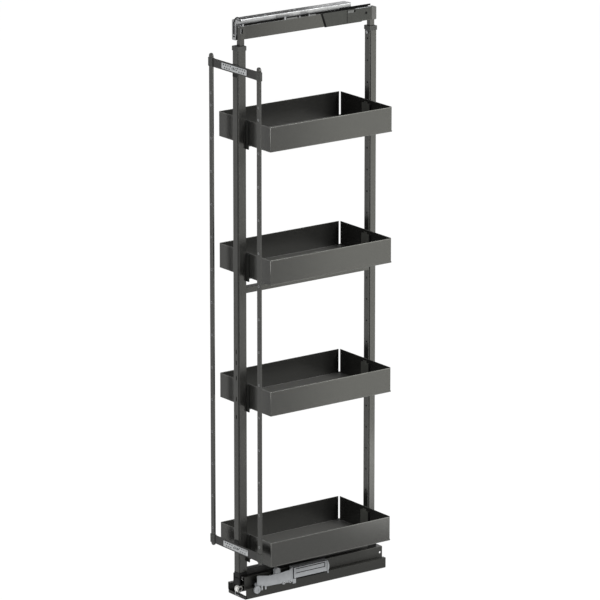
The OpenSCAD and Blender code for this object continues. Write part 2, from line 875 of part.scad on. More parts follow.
// Channel that hooks into a post and carries one end of a basket; side is +1 at the front post
module hanger(post_face, side, z) {
    half = hanger_w / 2;
    reach = post_gap - 0.6;
    back = post_face + side * hanger_t;
    rim = post_face + side * reach;
    ledge = post_face + side * (post_gap + ledge_len);
    top = z + basket_h - 2;
    block([-half, min(post_face, back), z - hanger_drop], [half, max(post_face, back), top]);
    both_sides() {
        block([half - hanger_t, min(post_face, rim), z - hanger_drop], [half, max(post_face, rim), top]);
    }
    block([-half, min(post_face, ledge), z - seat_gap - hanger_t],
          [half, max(post_face, ledge), z - seat_gap]);
    for (rise = [peg_rise - hanger_drop, peg_rise - hanger_drop + hole_pitch]) {
        peg_end = post_face - side * post_t;
        rod_y(hole_d - 0.4, min(post_face, peg_end), max(post_face, peg_end), 0, z + rise);
    }
}

module front_hangers() {
    color("#2a2b2a") for (z = basket_z) hanger(front_post_back, 1, z);
}

module rear_hangers() {
    color("#2a2b2a") for (z = basket_z) hanger(rear_post_front, -1, z);
}

module basket(z) {
    half = basket_w / 2;
    slit_z = z + basket_t + 2;
    color("#4d4e4a") difference() {
        translate([0, 0, z]) linear_extrude(height = basket_h) {
            round_rectangle([-half, basket_front], [half, basket_rear], basket_r);
        }
        translate([0, 0, z + basket_t]) linear_extrude(height = basket_h) {
            round_rectangle([basket_t - half, basket_front + basket_t],
                            [half - basket_t, basket_rear - basket_t], basket_r - basket_t);
        }
        both_sides() {
            block([half - corner_slit, basket_rear - corner_slit, slit_z],
                  [half + 1, basket_rear + 1, z + basket_h + 1]);
        }
    }
}

module basket_1() {
    basket(basket_z[3]);
}

module basket_2() {
    basket(basket_z[2]);
}

module basket_3() {
    basket(basket_z[1]);
}

module basket_4() {
    basket(basket_z[0]);
}

// Door carrier

// Heights of the door screw holes above the bars' lower ends
door_holes = concat([for (k = [0 : 13]) 53 + k * door_pitch], [bar_len - 115]);

module bar(x) {
    r = bar_w / 2;
    color("#555653") difference() {
        along_y(bar_front, bar_back) union() {
            rectangle([x - r, bar_z + r], [x + r, bar_top - r]);
            translate([x, bar_z + r]) circle(r = r);
            translate([x, bar_top - r]) circle(r = r);
        }
        for (rise = door_holes) rod_y(2 * door_hole_r, bar_front - 1, bar_back + 1, x, bar_z + rise);
    }
}

module left_bar() {
    bar(-bar_x);
}

module right_bar() {
    bar(bar_x);
}

module bar_clips() {
    room_x = bar_w / 2 + clip_fit;
    low_y = bar_front - clip_fit;
    high_y = bar_back + clip_fit;
    color("#3a3b3a") both_sides() for (z = [lower_bracket_z, upper_bracket_z]) {
        difference() {
            block([clip_inner, low_y - 1, z], [bar_x + room_x + clip_wall, high_y + 1, z + bracket_h]);
            block([bar_x - room_x, low_y, z - 1], [bar_x + room_x, high_y, z + bracket_h + 1]);
        }
    }
}

// A level slot for a carrier screw, drawn in X and Z
module adjust_slot(x, z) {
    r = carrier_screw_d / 2 + 0.3;
    rectangle([x - side_adjust, z - r], [x + side_adjust, z + r]);
    for (end = [-side_adjust, side_adjust]) translate([x + end, z]) circle(r = r);
}

module bracket(z) {
    color("#333433") along_y(bracket_front, bracket_back) difference() {
        rectangle([-clip_inner, z], [clip_inner, z + bracket_h]);
        for (x = [-0.5, 0.5]) adjust_slot(x * carrier_screw_dx, z + bracket_h / 2);
    }
}

module lower_bracket() {
    bracket(lower_bracket_z);
}

module upper_bracket() {
    bracket(upper_bracket_z);
}

// Silver plate over the bracket, with two staggered rows of small holes beside its slots
module adjuster_plate(z) {
    middle = z + bracket_h / 2;
    half = plate_len / 2;
    spot_d = 5;
    spot_edge = 9;
    spot_pitch = 11;
    slot_end = carrier_screw_dx / 2 + side_adjust + carrier_screw_d / 2 + spot_d / 2 + 1;
    spots = 1 + floor((half - spot_edge - slot_end) / (spot_pitch / 2));
    color("#c3c5c6") along_y(plate_front, bracket_front) difference() {
        round_rectangle([-half, middle - plate_h / 2], [half, middle + plate_h / 2], 2.5);
        for (x = [-0.5, 0.5]) adjust_slot(x * carrier_screw_dx, middle);
        for (side = [-1, 1], k = [0 : spots - 1]) {
            x = half - spot_edge - spot_pitch / 2 * k;
            row = k % 2 == 0 ? plate_h / 4 : -plate_h / 4;
            translate([side * x, middle + row]) circle(d = spot_d);
        }
    }
}

module lower_plate() {
    adjuster_plate(lower_bracket_z);
}

module upper_plate() {
    adjuster_plate(upper_bracket_z);
}

// Pads on the front post, above the lower bracket and below the upper one
module post_clamps() {
    half = post_w / 2 - post_step;
    pad_t = 2.5;
    height = 10;
    color("#1f1f1f") for (z = [lower_bracket_z + bracket_h + 0.5, upper_bracket_z - 0.5 - height]) {
        block([-half, front_post_front - pad_t, z], [half, front_post_front, z + height]);
    }
}

module carrier_screws() {
    head_t = 2;
    head_gap = 0.3;
    head_y = plate_front - head_gap;
    color("#b4b6b8") for (z = bracket_mid, x = [-0.5, 0.5]) {
        rod_y(carrier_screw_d, head_y, front_post_front + post_t + 1, x * carrier_screw_dx, z);
        rod_y(9, head_y - head_t, head_y, x * carrier_screw_dx, z);
    }
}

// Top rail and the tubes that carry it

module inner_tube(y, top) {
    half = tube_w / 2;
    bottom = post_top - tube_in;
    difference() {
        block([-half, y - half, bottom], [half, y + half, top]);
        block([tube_t - half, y - half + tube_t, bottom - 1], [half - tube_t, y + half - tube_t, top + 1]);
    }
}

// The front tube runs up in front of the rail, cut away beside the slide
module front_tube() {
    half = tube_w / 2;
    beside_slide = rail_left + 0.3;
    color("#4c4d4b") difference() {
        inner_tube(front_tube_y, rail_top - 3);
        block([-half - 1, front_tube_y - half - 1, slide_z - 1],
              [beside_slide, front_tube_y + half + 1, rail_top]);
    }
}

module rear_tube() {
    color("#4c4d4b") inner_tube(rear_tube_y, rail_z - cover_t);
}

module top_rail() {
    color("#575855") difference() {
        along_y(rail_front, rail_rear) difference() {
            rectangle([rail_left, rail_z], [rail_right, rail_top]);
            rectangle([rail_left + rail_t, rail_z + rail_t], [rail_right - rail_t, rail_top + 1]);
        }
        for (y = rail_screw_y) rod_x(4, rail_left - 1, rail_left + rail_t + 1, y, slide_mid_z);
    }
}

// Dark sleeve on the right and lower sides of the rail's rear part
module rail_cover() {
    cover_front = rail_rear - cover_len;
    slant = 14;
    step_y = rail_rear - 36;
    step_h = 4;
    low = rail_z - cover_t;
    side = [
        [cover_front + slant, low], [step_y, low], [step_y + 3, low + step_h],
        [rail_rear, low + step_h], [rail_rear, rail_top + 0.5], [cover_front, rail_top + 0.5]
    ];
    color("#3c3d3a") difference() {
        union() {
            along_x(rail_right, rail_right + cover_t) polygon(side);
            block([rail_left, cover_front + slant, low], [rail_right, step_y, rail_z]);
        }
        block([rail_right + cover_t - 0.6, step_y - 52, rail_z],
              [rail_right + cover_t + 1, step_y - 50, rail_top + 1]);
        block([rail_right - 1, step_y - 44, rail_top - 9],
              [rail_right + cover_t + 1, step_y - 24, rail_top - 4]);
        rod_x(8, rail_right - 1, rail_right + cover_t + 1, rail_rear - 20, rail_z + 22);
    }
}

module rear_block() {
    low = rail_z - cover_t;
    color("#61625f") along_x(rail_left, rail_right) {
        round_rectangle([rail_rear, low], [rail_rear + 18, rail_top - 2], 3);
        rectangle([rail_rear, low], [rail_rear + 9, rail_top - 2]);
    }
}

module rail_screws() {
    color("#b4b6b8") for (y = rail_screw_y) {
        rod_x(4, rail_left - slide_t, rail_left + rail_t, y, slide_mid_z);
        rod_x(8, rail_left + rail_t, rail_left + rail_t + 2.5, y, slide_mid_z);
    }
}

// Telescopic slide beside the top rail: each outline is drawn in X and Z

module slide_inner() {
    web = rail_left - slide_t;
    race = inner_ball_x - ball_d / 2;
    color("#b9bbbd") difference() {
        along_y(slide_front, slide_rear) {
            rectangle([web, slide_mid_z - inner_race], [rail_left, slide_mid_z + inner_race]);
            rectangle([race, slide_mid_z + inner_race - slide_t], [rail_left, slide_mid_z + inner_race]);
            rectangle([race, slide_mid_z - inner_race], [rail_left, slide_mid_z - inner_race + slide_t]);
        }
        for (y = rail_screw_y) rod_x(4, web - 1, rail_left + 1, y, slide_mid_z);
    }
}

module slide_middle() {
    flange = 6;
    color("#c6c8ca") along_y(slide_front, slide_rear) {
        rectangle([middle_web_x - slide_t / 2, slide_mid_z - middle_race],
                  [middle_web_x + slide_t / 2, slide_mid_z + middle_race]);
        for (z = [slide_mid_z + middle_race - slide_t, slide_mid_z - middle_race]) {
            rectangle([middle_web_x - flange, z], [middle_web_x + flange, z + slide_t]);
        }
    }
}

module slide_outer() {
    edge = rail_left - 2;
    slot_x = slide_left + 7;
    slot_half = slide_slot_len / 2 - slide_screw_r;
    color("#d2d4d6") difference() {
        along_y(slide_front, slide_rear) {
            difference() {
                round_rectangle([slide_left, slide_z], [edge, slide_top], 3);
                round_rectangle([slide_left + slide_t, slide_z + slide_t], [edge - slide_t, slide_top - slide_t],
                                3 - slide_t);
                rectangle([edge - slide_t - 1, slide_z + slide_lip], [edge + 1, slide_top - slide_lip]);
            }
        }
        for (side = [-1, 1]) {
            translate([slot_x, cage_y + side * slide_screw_dy / 2, slide_top - slide_t - 1]) {
                linear_extrude(height = slide_t + 2) {
                    square([2 * slide_screw_r, 2 * slot_half], center = true);
                    for (end = [-slot_half, slot_half]) translate([0, end]) circle(r = slide_screw_r);
                }
            }
        }
    }
}

module cage(x, z, width) {
    step = cage_len / cage_balls;
    difference() {
        block([x - width / 2, cage_y - cage_len / 2, z - 0.5],
              [x + width / 2, cage_y + cage_len / 2, z + 0.5]);
        for (k = [0 : cage_balls - 1]) {
            rod_up(ball_d + 0.4, z - 1, z + 1, x, cage_y + (k + 0.5) * step - cage_len / 2);
        }
    }
    for (k = [0 : cage_balls - 1]) {
        translate([x, cage_y + (k + 0.5) * step - cage_len / 2, z]) sphere(d = ball_d);
    }
}

module ball_cages() {
    color("#a0a2a4") for (side = [-1, 1]) {
        cage(outer_ball_x, slide_mid_z + side * (middle_race + ball_space / 2), 8);
    }
}

base_channel();
roller_bracket();
front_axle();
front_roller();
rear_buffer();
damper_bracket();
damper_housing();
damper_cover();
damper_end_cap();
damper_cylinder();
closing_spring();
locking_screw();
damper_screws();
catch();
piston_rod();
middle_rail();
stub_axles();
rear_wheels();
support_axle();
support_wheel();
carriage();
truck_bracket();
truck_axle();
truck_wheels();
activator_pin();
front_foot();
rear_foot();
foot_screws();
front_post();
rear_post();
bottom_rail();
middle_brace();
front_collar();
rear_collar();
lock_screws();
front_hangers();
rear_hangers();
basket_1();
basket_2();
basket_3();
basket_4();
left_bar();
right_bar();
bar_clips();
upper_bracket();
lower_bracket();
upper_plate();
lower_plate();
post_clamps();
carrier_screws();
front_tube();
rear_tube();
top_rail();
rail_cover();
rear_block();
rail_screws();
slide_inner();
slide_middle();
slide_outer();
ball_cages();
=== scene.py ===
"""Looks of the pull-out pantry frame: materials, small details, studio light and the photograph's camera."""
import math

import bmesh
import bpy
from mathutils import Matrix, Vector


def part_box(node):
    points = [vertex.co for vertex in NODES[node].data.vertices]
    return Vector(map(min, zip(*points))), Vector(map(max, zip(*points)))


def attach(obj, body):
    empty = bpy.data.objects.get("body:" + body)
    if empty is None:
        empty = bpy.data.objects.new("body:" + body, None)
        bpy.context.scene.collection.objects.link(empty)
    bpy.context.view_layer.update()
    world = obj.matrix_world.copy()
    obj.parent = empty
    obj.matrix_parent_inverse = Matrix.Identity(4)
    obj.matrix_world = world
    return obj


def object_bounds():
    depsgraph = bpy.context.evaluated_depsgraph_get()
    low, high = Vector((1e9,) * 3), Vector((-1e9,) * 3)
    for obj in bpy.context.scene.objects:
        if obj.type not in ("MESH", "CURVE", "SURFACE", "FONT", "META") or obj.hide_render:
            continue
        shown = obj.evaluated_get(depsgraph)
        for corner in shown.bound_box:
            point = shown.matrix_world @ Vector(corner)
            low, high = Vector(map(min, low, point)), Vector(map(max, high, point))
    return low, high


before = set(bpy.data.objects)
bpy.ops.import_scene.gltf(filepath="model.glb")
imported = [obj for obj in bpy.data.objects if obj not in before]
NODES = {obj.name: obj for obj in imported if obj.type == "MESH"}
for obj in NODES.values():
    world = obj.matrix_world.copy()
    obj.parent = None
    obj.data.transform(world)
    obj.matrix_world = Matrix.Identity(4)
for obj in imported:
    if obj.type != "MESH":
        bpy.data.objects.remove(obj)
CAD_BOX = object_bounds()
scene = bpy.context.scene

# Each basket's node and the body that it rides on
BASKETS = {"basket_1": "basket_a", "basket_2": "basket_b", "basket_3": "basket_c", "basket_4": "basket_d"}

# One millimetre in metres
MM = 0.001


# Colours

def linear(value):
    """A screen grey or colour channel of 0 to 255 as linear light."""
    c = value / 255.0
    return c / 12.92 if c <= 0.04045 else ((c + 0.055) / 1.055) ** 2.4


def colour(r, g, b):
    """A screen colour as the linear colour that a shader takes."""
    return (linear(r), linear(g), linear(b), 1.0)


def tinted(base, factor):
    """A colour made lighter or darker by a factor."""
    return tuple(min(1.0, c * factor) for c in base[:3]) + (1.0,)


# Materials

# Values between which most of a noise texture lies, and the whole range of a mask
NOISE_RANGE = (0.3, 0.7)
MASK_RANGE = (0.0, 1.0)


class Tree:
    """A material's node tree with a Principled shader and a few short ways to add nodes."""

    def __init__(self, name):
        self.material = bpy.data.materials.new(name)
        self.material.use_nodes = True
        self.tree = self.material.node_tree
        self.tree.nodes.clear()
        self.shader = self.add("ShaderNodeBsdfPrincipled")
        output = self.add("ShaderNodeOutputMaterial")
        self.link(self.shader.outputs["BSDF"], output.inputs["Surface"])
        self.coords = self.add("ShaderNodeTexCoord").outputs["Object"]

    def add(self, kind):
        return self.tree.nodes.new(kind)

    def link(self, a, b):
        self.tree.links.new(a, b)

    def noise(self, scale, stretch=(1, 1, 1), detail=2.0, roughness=0.5):
        """Noise over the object, which can be drawn out along an axis."""
        mapping = self.add("ShaderNodeMapping")
        mapping.inputs["Scale"].default_value = stretch
        self.link(self.coords, mapping.inputs["Vector"])
        noise = self.add("ShaderNodeTexNoise")
        noise.inputs["Scale"].default_value = scale
        noise.inputs["Detail"].default_value = detail
        noise.inputs["Roughness"].default_value = roughness
        self.link(mapping.outputs["Vector"], noise.inputs["Vector"])
        return noise.outputs["Fac"]

    def varied(self, value, base, vary, middle=1.0):
        """A colour that gets darker and lighter with a noise, by that share about its middle."""
        ramp = self.add("ShaderNodeValToRGB")
        for stop, place, factor in zip(ramp.color_ramp.elements, NOISE_RANGE, (middle - vary, middle + vary)):
            stop.position = place
            stop.color = tinted(base, factor)
        self.link(value, ramp.inputs["Fac"])
        return ramp.outputs["Color"]

    def spread(self, value, low, high, at=NOISE_RANGE):
        """A number from low to high, while the value goes over the range."""
        change = self.add("ShaderNodeMapRange")
        change.inputs["From Min"].default_value = at[0]
        change.inputs["From Max"].default_value = at[1]
        change.inputs["To Min"].default_value = low
        change.inputs["To Max"].default_value = high
        self.link(value, change.inputs["Value"])
        return change.outputs["Result"]

    def compute(self, operation, first, second=None):
        """One sum on a linked value and, where there is one, a second linked value or number."""
        node = self.add("ShaderNodeMath")
        node.operation = operation
        self.link(first, node.inputs[0])
        if isinstance(second, float):
            node.inputs[1].default_value = second
        elif second is not None:
            self.link(second, node.inputs[1])
        return node.outputs[0]

    def mixed(self, share, first, second):
        """A blend of two colours."""
        mix = self.add("ShaderNodeMix")
        mix.data_type = "RGBA"
        colours = [socket for socket in mix.inputs if socket.type == "RGBA"]
        self.link(share, mix.inputs["Factor"])
        self.link(first, colours[0])
        self.link(second, colours[1])
        return next(socket for socket in mix.outputs if socket.type == "RGBA")

    def bump(self, value, strength, distance):
        bump = self.add("ShaderNodeBump")
        bump.inputs["Strength"].default_value = strength
        bump.inputs["Distance"].default_value = distance
        self.link(value, bump.inputs["Height"])
        self.link(bump.outputs["Normal"], self.shader.inputs["Normal"])

    def put(self, **values):
        for key, value in values.items():
            self.shader.inputs[key.replace("_", " ")].default_value = value


# Noise scales of the paint's flake, gloss and orange peel, of the painted highlights on basket rims and
# corners, of the steel's grain, and of the plastic's flow marks, gloss and spark-eroded texture
FLAKE_SCALE = 420
GLOSS_SCALE = 160
PEEL_SCALE = 900
HIGHLIGHT_SCALE = 45
GRAIN_SCALE = 900
FLOW_SCALE = 60
SHEEN_SCALE = 240
SPARK_SCALE = 1400

# Heights of the bumps in metres
PEEL_HEIGHT = 0.0002
GRAIN_HEIGHT = 0.0002
SPARK_HEIGHT = 0.0001

# Baskets, in metres: sheet thickness, widths of the painted highlight bands along rims and corners, and their
# soft edge
SHEET = 0.0012
RIM_HIGHLIGHT = 0.0018
CORNER_HIGHLIGHT = 0.0016
FADE = 0.0006

# Heights over the basket's floor, in metres, between which the floor's coat gives way to the wall's paint
FLOOR_COAT = (0.0004, 0.001)
FLOOR_COAT_METALLIC = 0.2
FLOOR_COAT_ROUGH = 0.6
FLOOR_COAT_VARY = 0.15

# How many times lighter the painted highlight is, how much that varies, and its least share in a highlight
# band
HIGHLIGHT_GAIN = 2.1
HIGHLIGHT_GAIN_VARY = 0.4
LEAST_HIGHLIGHT = 0.55

# The satin paint of the frame and the baskets
SATIN_ROUGH = 0.24
SATIN_METALLIC = 0.8
SATIN_FLAKE = 0.2

# How much the roughness of paint, steel and plastic varies
GLOSS_VARY = (-0.02, 0.02)
GRAIN_VARY = (-0.06, 0.1)
SHEEN_VARY = (-0.07, 0.07)


def span(start, offsets):
    """Two values, given by how far they are from a third one."""
    return [start + offset for offset in offsets]


def painted(name, base, rough=SATIN_ROUGH, metallic=SATIN_METALLIC, flake=SATIN_FLAKE):
    """Satin metallic paint: flake in its colour, faint changes of gloss, and a fine orange-peel bump."""
    t = Tree(name)
    grain = t.noise(FLAKE_SCALE, detail=3.0, roughness=0.7)
    t.link(t.varied(grain, base, flake), t.shader.inputs["Base Color"])
    t.link(t.spread(t.noise(GLOSS_SCALE), *span(rough, GLOSS_VARY)), t.shader.inputs["Roughness"])
    t.bump(t.noise(PEEL_SCALE, detail=1.0), strength=0.12, distance=PEEL_HEIGHT)
    t.put(Metallic=metallic)
    return t.material


def basket_paint(name, base, floor, low, high):
    """The same paint on a basket's walls, lighter at rims and corners as a painted highlight, and a matt coat
    on its floor.
    """
    t = Tree(name)
    grain = t.noise(FLAKE_SCALE, detail=3.0, roughness=0.7)
    wall_tint = t.varied(grain, base, SATIN_FLAKE)
    painted_highlight_tint = t.varied(grain, base, HIGHLIGHT_GAIN_VARY, middle=HIGHLIGHT_GAIN)
    floor_tint = t.varied(grain, floor, FLOOR_COAT_VARY)
    parts = t.add("ShaderNodeSeparateXYZ")
    t.link(t.coords, parts.inputs["Vector"])
    x, y, z = (parts.outputs[axis] for axis in "XYZ")
    # Painted highlight: lighter paint in a band along the rim and down the upright corners, broken up by a
    # noise
    rim = high[2] - RIM_HIGHLIGHT
    near_rim = t.spread(z, *MASK_RANGE, at=(rim - FADE, rim))
    corners = []
    for value, a, b in ((x, low[0], high[0]), (y, low[1], high[1])):
        reach = t.compute("ABSOLUTE", t.compute("SUBTRACT", value, (a + b) / 2))
        inner = (b - a) / 2 - CORNER_HIGHLIGHT
        corners.append(t.spread(reach, *MASK_RANGE, at=(inner - FADE, inner)))
    painted_highlight = t.compute("MAXIMUM", near_rim, t.compute("MULTIPLY", *corners))
    painted_highlight = t.compute("MULTIPLY", painted_highlight, t.spread(t.noise(HIGHLIGHT_SCALE), LEAST_HIGHLIGHT, 1.0))
    on_floor = t.spread(z, 1.0, 0.0, at=span(low[2] + SHEET, FLOOR_COAT))
    tint = t.mixed(on_floor, t.mixed(painted_highlight, wall_tint, painted_highlight_tint), floor_tint)
    t.link(tint, t.shader.inputs["Base Color"])
    metallic = t.spread(on_floor, SATIN_METALLIC, FLOOR_COAT_METALLIC, at=MASK_RANGE)
    t.link(metallic, t.shader.inputs["Metallic"])
    rough = t.spread(on_floor, SATIN_ROUGH, FLOOR_COAT_ROUGH, at=MASK_RANGE)
    t.link(rough, t.shader.inputs["Roughness"])
    t.bump(t.noise(PEEL_SCALE, detail=1.0), strength=0.25, distance=PEEL_HEIGHT)
    return t.material


def metal(name, base, rough=0.28, along=(1, 1, 1), scratch=0.12):
    """Plated or rolled steel, with a grain that can be drawn out along one axis."""
    t = Tree(name)
    grain = t.noise(GRAIN_SCALE, stretch=along, detail=3.0)
    t.link(t.varied(grain, base, scratch), t.shader.inputs["Base Color"])
    t.link(t.spread(grain, *span(rough, GRAIN_VARY)), t.shader.inputs["Roughness"])
    t.bump(grain, strength=0.12, distance=GRAIN_HEIGHT)
    t.put(Metallic=1.0)
    return t.material


def plastic(name, base, rough=0.45, vary=0.08, shine=0.4):
    """Moulded plastic with faint flow marks and a fine spark-eroded texture."""
    t = Tree(name)
    flow = t.noise(FLOW_SCALE, detail=4.0)
    t.link(t.varied(flow, base, vary), t.shader.inputs["Base Color"])
    t.link(t.spread(t.noise(SHEEN_SCALE), *span(rough, SHEEN_VARY)), t.shader.inputs["Roughness"])
    t.bump(t.noise(SPARK_SCALE, detail=1.0), strength=0.3, distance=SPARK_HEIGHT)
    t.put(Specular_IOR_Level=shine)
    return t.material


# The stretch of a grain that runs along Y
ALONG_Y = (1, 0.03, 1)

ANTHRACITE = colour(66, 66, 64)
BASKET_FLOOR = colour(66, 66, 64)
PAINT = painted("anthracite_paint", ANTHRACITE)
PAINT_DARK = painted("dark_anthracite_paint", colour(51, 51, 49), rough=0.4)
PAINT_BASE = painted("base_paint", colour(46, 46, 44), rough=0.4)
BRACKET = painted("bracket_paint", colour(40, 40, 39), rough=0.45, metallic=0.5)
HANGER = painted("hanger_paint", colour(50, 51, 49), rough=0.4, flake=0.15)
RAIL = painted("rail_paint", colour(61, 61, 59))
STEEL = metal("zinc_plated_steel", colour(172, 174, 175))
SLIDE = metal("rolled_slide_steel", colour(143, 144, 145), rough=0.3, along=ALONG_Y)
SLIDE_END = metal("slide_end_steel", colour(140, 141, 142), rough=0.4)
RIM = metal("door_hole_rim_steel", colour(138, 139, 140), rough=0.4)
DULL = plastic("dull_zinc", colour(112, 113, 114), rough=0.55, shine=0.3)
GREY = plastic("grey_plastic", colour(118, 120, 122))
BLOCK = plastic("block_plastic", colour(62, 62, 60))
BLACK = plastic("black_plastic", colour(14, 14, 14), rough=0.55, shine=0.14)
DARK = plastic("dark_plastic", colour(40, 41, 39), shine=0.3)
COVER = plastic("cover_plastic", colour(40, 41, 38), rough=0.5, shine=0.2)
PALE = plastic("pale_plastic", colour(214, 214, 210), rough=0.35)
SHADOW = plastic("shadow_black", colour(9, 9, 9), rough=0.85, shine=0.08)
TAB = plastic("tab_plastic", colour(78, 79, 78), rough=0.55, shine=0.25)
HOOK = plastic("hook_plastic", colour(66, 67, 63), rough=0.6, shine=0.2)
RUBBER = plastic("rubber", colour(34, 34, 34), rough=0.7, shine=0.2)

# The CAD nodes that take each material
LOOKS = {
    PAINT: "front_post rear_post middle_brace left_bar right_bar front_tube rear_tube",
    RAIL: "top_rail",
    PAINT_DARK: "carriage middle_rail",
    PAINT_BASE: "base_channel",
    BRACKET: "upper_bracket lower_bracket bottom_rail",
    HANGER: "front_hangers rear_hangers",
    STEEL: "roller_bracket front_axle closing_spring damper_screws piston_rod stub_axles support_axle "
           "truck_axle activator_pin foot_screws lock_screws upper_plate lower_plate carrier_screws "
           "rail_screws",
    SLIDE: "slide_inner slide_middle slide_outer ball_cages",
    GREY: "damper_bracket damper_housing damper_cover damper_end_cap locking_screw catch",
    BLOCK: "rear_block",
    BLACK: "front_foot rear_foot post_clamps damper_cylinder truck_bracket",
    DARK: "front_collar rear_collar bar_clips",
    COVER: "rail_cover",
    PALE: "front_roller rear_wheels support_wheel truck_wheels",
    RUBBER: "rear_buffer",
}
for name in BASKETS:
    LOOKS[basket_paint(name + "_paint", ANTHRACITE, BASKET_FLOOR, *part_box(name))] = name
for look, names in LOOKS.items():
    for name in names.split():
        slots = NODES[name].data.materials
        slots.clear()
        slots.append(look)


# Rounded edges, as modifiers, so that edges catch the light

# Edges that turn more than this are rounded, in this many steps
SHARP = math.radians(40)
BEVEL_STEPS = 2

# Points closer than this, in metres, are joined, and so are faces that turn less than this
WELD_GAP = 0.00001
FLAT = math.radians(0.5)

# Widths of the rounded edges in metres
EDGES = {
    0.0005: "basket_1 basket_2 basket_3 basket_4 upper_bracket lower_bracket",
    0.0007: "left_bar right_bar",
    0.0008: "front_post rear_post front_collar rear_collar damper_end_cap damper_bracket carriage "
            "base_channel",
    0.0012: "rear_block damper_housing front_foot rear_foot bottom_rail",
}


def bevelled(piece, width):
    """Rounds the sharp edges of a piece."""
    bevel = piece.modifiers.new("bevel", "BEVEL")
    bevel.width = width
    bevel.segments = BEVEL_STEPS
    bevel.limit_method = "ANGLE"
    bevel.angle_limit = SHARP
    return bevel


def soften(name, width):
    """Joins the triangles of a CAD node into flat faces and rounds its edges."""
    weld = NODES[name].modifiers.new("weld", "WELD")
    weld.merge_threshold = WELD_GAP
    flat = NODES[name].modifiers.new("flat", "DECIMATE")
    flat.decimate_type = "DISSOLVE"
    flat.angle_limit = FLAT
    bevel = bevelled(NODES[name], width)
    # Without the clamp, short edges of the base channel would be pushed out beyond its walls
    bevel.use_clamp_overlap = name == "base_channel"


for width, names in EDGES.items():
    for name in names.split():
        soften(name, width)


# Shapes of the small detail pieces, in millimetres of the same frame. A pair of numbers whose name ends in
# _X, _Y or _Z holds two places along that axis, mostly measured from a face.

# Anything shorter counts as nothing
TINY = 1e-6


def corner(axis, a, b, at):
    """A point from two outline values and its place along the axis."""
    return {"x": (at, a, b), "y": (a, at, b), "z": (a, b, at)}[axis]


def prism(shape, axis, outline, low, high):
    """An outline in the two other axes, drawn out along the axis from low to high."""
    rings = [[shape.verts.new(corner(axis, a, b, at)) for a, b in outline] for at in (low, high)]
    for ring in rings:
        shape.faces.new(ring)
    count = len(outline)
    for i in range(count):
        j = (i + 1) % count
        shape.faces.new((rings[0][i], rings[0][j], rings[1][j], rings[1][i]))


def holed(shape, axis, outer, inner, low, high):
    """A plate with a hole: outer and inner outlines have the same number of points."""
    count = len(outer)
    loops = [[shape.verts.new(corner(axis, a, b, at)) for a, b in outline]
             for at in (low, high) for outline in (outer, inner)]
    for first, second in ((0, 1), (2, 3), (0, 2), (1, 3)):
        for i in range(count):
            j = (i + 1) % count
            shape.faces.new((loops[first][i], loops[first][j], loops[second][j], loops[second][i]))


def oval(a, b, width, height, points=24, start=0.0, end=360.0):
    """Points round an ellipse, or along an arc of it."""
    whole = end - start >= 360.0
    steps = points if whole else points - 1
    turns = [math.radians(start + (end - start) * i / steps) for i in range(points)]
    return [(a + width / 2 * math.cos(turn), b + height / 2 * math.sin(turn)) for turn in turns]


def rounded(a0, b0, a1, b1, radius, points=5):
    """A rectangle with round corners."""
    middles = ((a1 - radius, b1 - radius), (a0 + radius, b1 - radius),
               (a0 + radius, b0 + radius), (a1 - radius, b0 + radius))
    outline = []
    for quarter, (a, b) in enumerate(middles):
        outline += oval(a, b, 2 * radius, 2 * radius, points, 90.0 * quarter, 90.0 * quarter + 90.0)
    return outline


def cross(a, b, size, width):
    """The outline of a cross recess: one arm, turned by a quarter three times."""
    end = size / 2
    side = width / 2
    arm = [(end, -side), (end, side), (side, side)]
    outline = []
    for _ in range(4):
        outline += [(a + da, b + db) for da, db in arm]
        arm = [(-db, da) for da, db in arm]
    return outline


def framing(outline, middle, low, high):
    """For each point of an outline, the point of a box that lies behind it as seen from the middle."""
    framed = []
    for point in outline:
        away = [value - centre for value, centre in zip(point, middle)]
        reach = []
        for axis in (0, 1):
            if abs(away[axis]) > TINY:
                wall = high[axis] if away[axis] > 0 else low[axis]
                reach.append((wall - middle[axis]) / away[axis])
        framed.append(tuple(centre + step * min(reach) for centre, step in zip(middle, away)))
    return framed


def millimetres(node):
    """A node's lowest and highest corners in millimetres."""
    return [[value / MM for value in corner_point] for corner_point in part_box(node)]


def made(name, shape, look, body, rounding=0.2):
    """Turns a mesh in millimetres into a piece that rides on a body."""
    bmesh.ops.recalc_face_normals(shape, faces=shape.faces)
    bmesh.ops.scale(shape, vec=(MM, MM, MM), verts=shape.verts)
    mesh = bpy.data.meshes.new(name)
    shape.to_mesh(mesh)
    shape.free()
    mesh.materials.append(look)
    piece = bpy.data.objects.new(name, mesh)
    scene.collection.objects.link(piece)
    if rounding:
        bevelled(piece, rounding * MM)
    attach(piece, body)


# Bumper at the slide's front, under a black arch with a slanted band across it. Its middle lies behind the
# slide's front and below its top, and the band's corners are measured from there.

SLIDE_LOW, SLIDE_HIGH = millimetres("slide_outer")
NOSE_BACK = 5.0
NOSE_DROP = 6.0
ARCH = (24.0, 29.0)
ARCH_X = (-2.5, 0.4)
BUMPER = (17.0, 22.0)
BUMPER_X = (-2.0, 0.1)
BAND = ((-8.0, 9.5), (8.5, 1.5), (8.5, 3.7), (-8.0, 11.7))
BAND_X = (0.1, 0.5)


def slide_nose():
    middle_y = SLIDE_LOW[1] + NOSE_BACK
    middle_z = SLIDE_HIGH[2] - NOSE_DROP
    arch = oval(middle_y, middle_z, *ARCH, end=180.0)
    bumper = oval(middle_y, middle_z, *BUMPER, end=180.0)
    band = [(middle_y + y, middle_z + z) for y, z in BAND]
    shape = bmesh.new()
    prism(shape, "x", arch + bumper[::-1], *span(SLIDE_HIGH[0], ARCH_X))
    prism(shape, "x", band, *span(SLIDE_HIGH[0], BAND_X))
    made("slide_nose_rim", shape, BLACK, "top_slide_outer")
    shape = bmesh.new()
    prism(shape, "x", bumper, *span(SLIDE_HIGH[0], BUMPER_X))
    made("slide_nose", shape, DULL, "top_slide_outer", rounding=0.5)
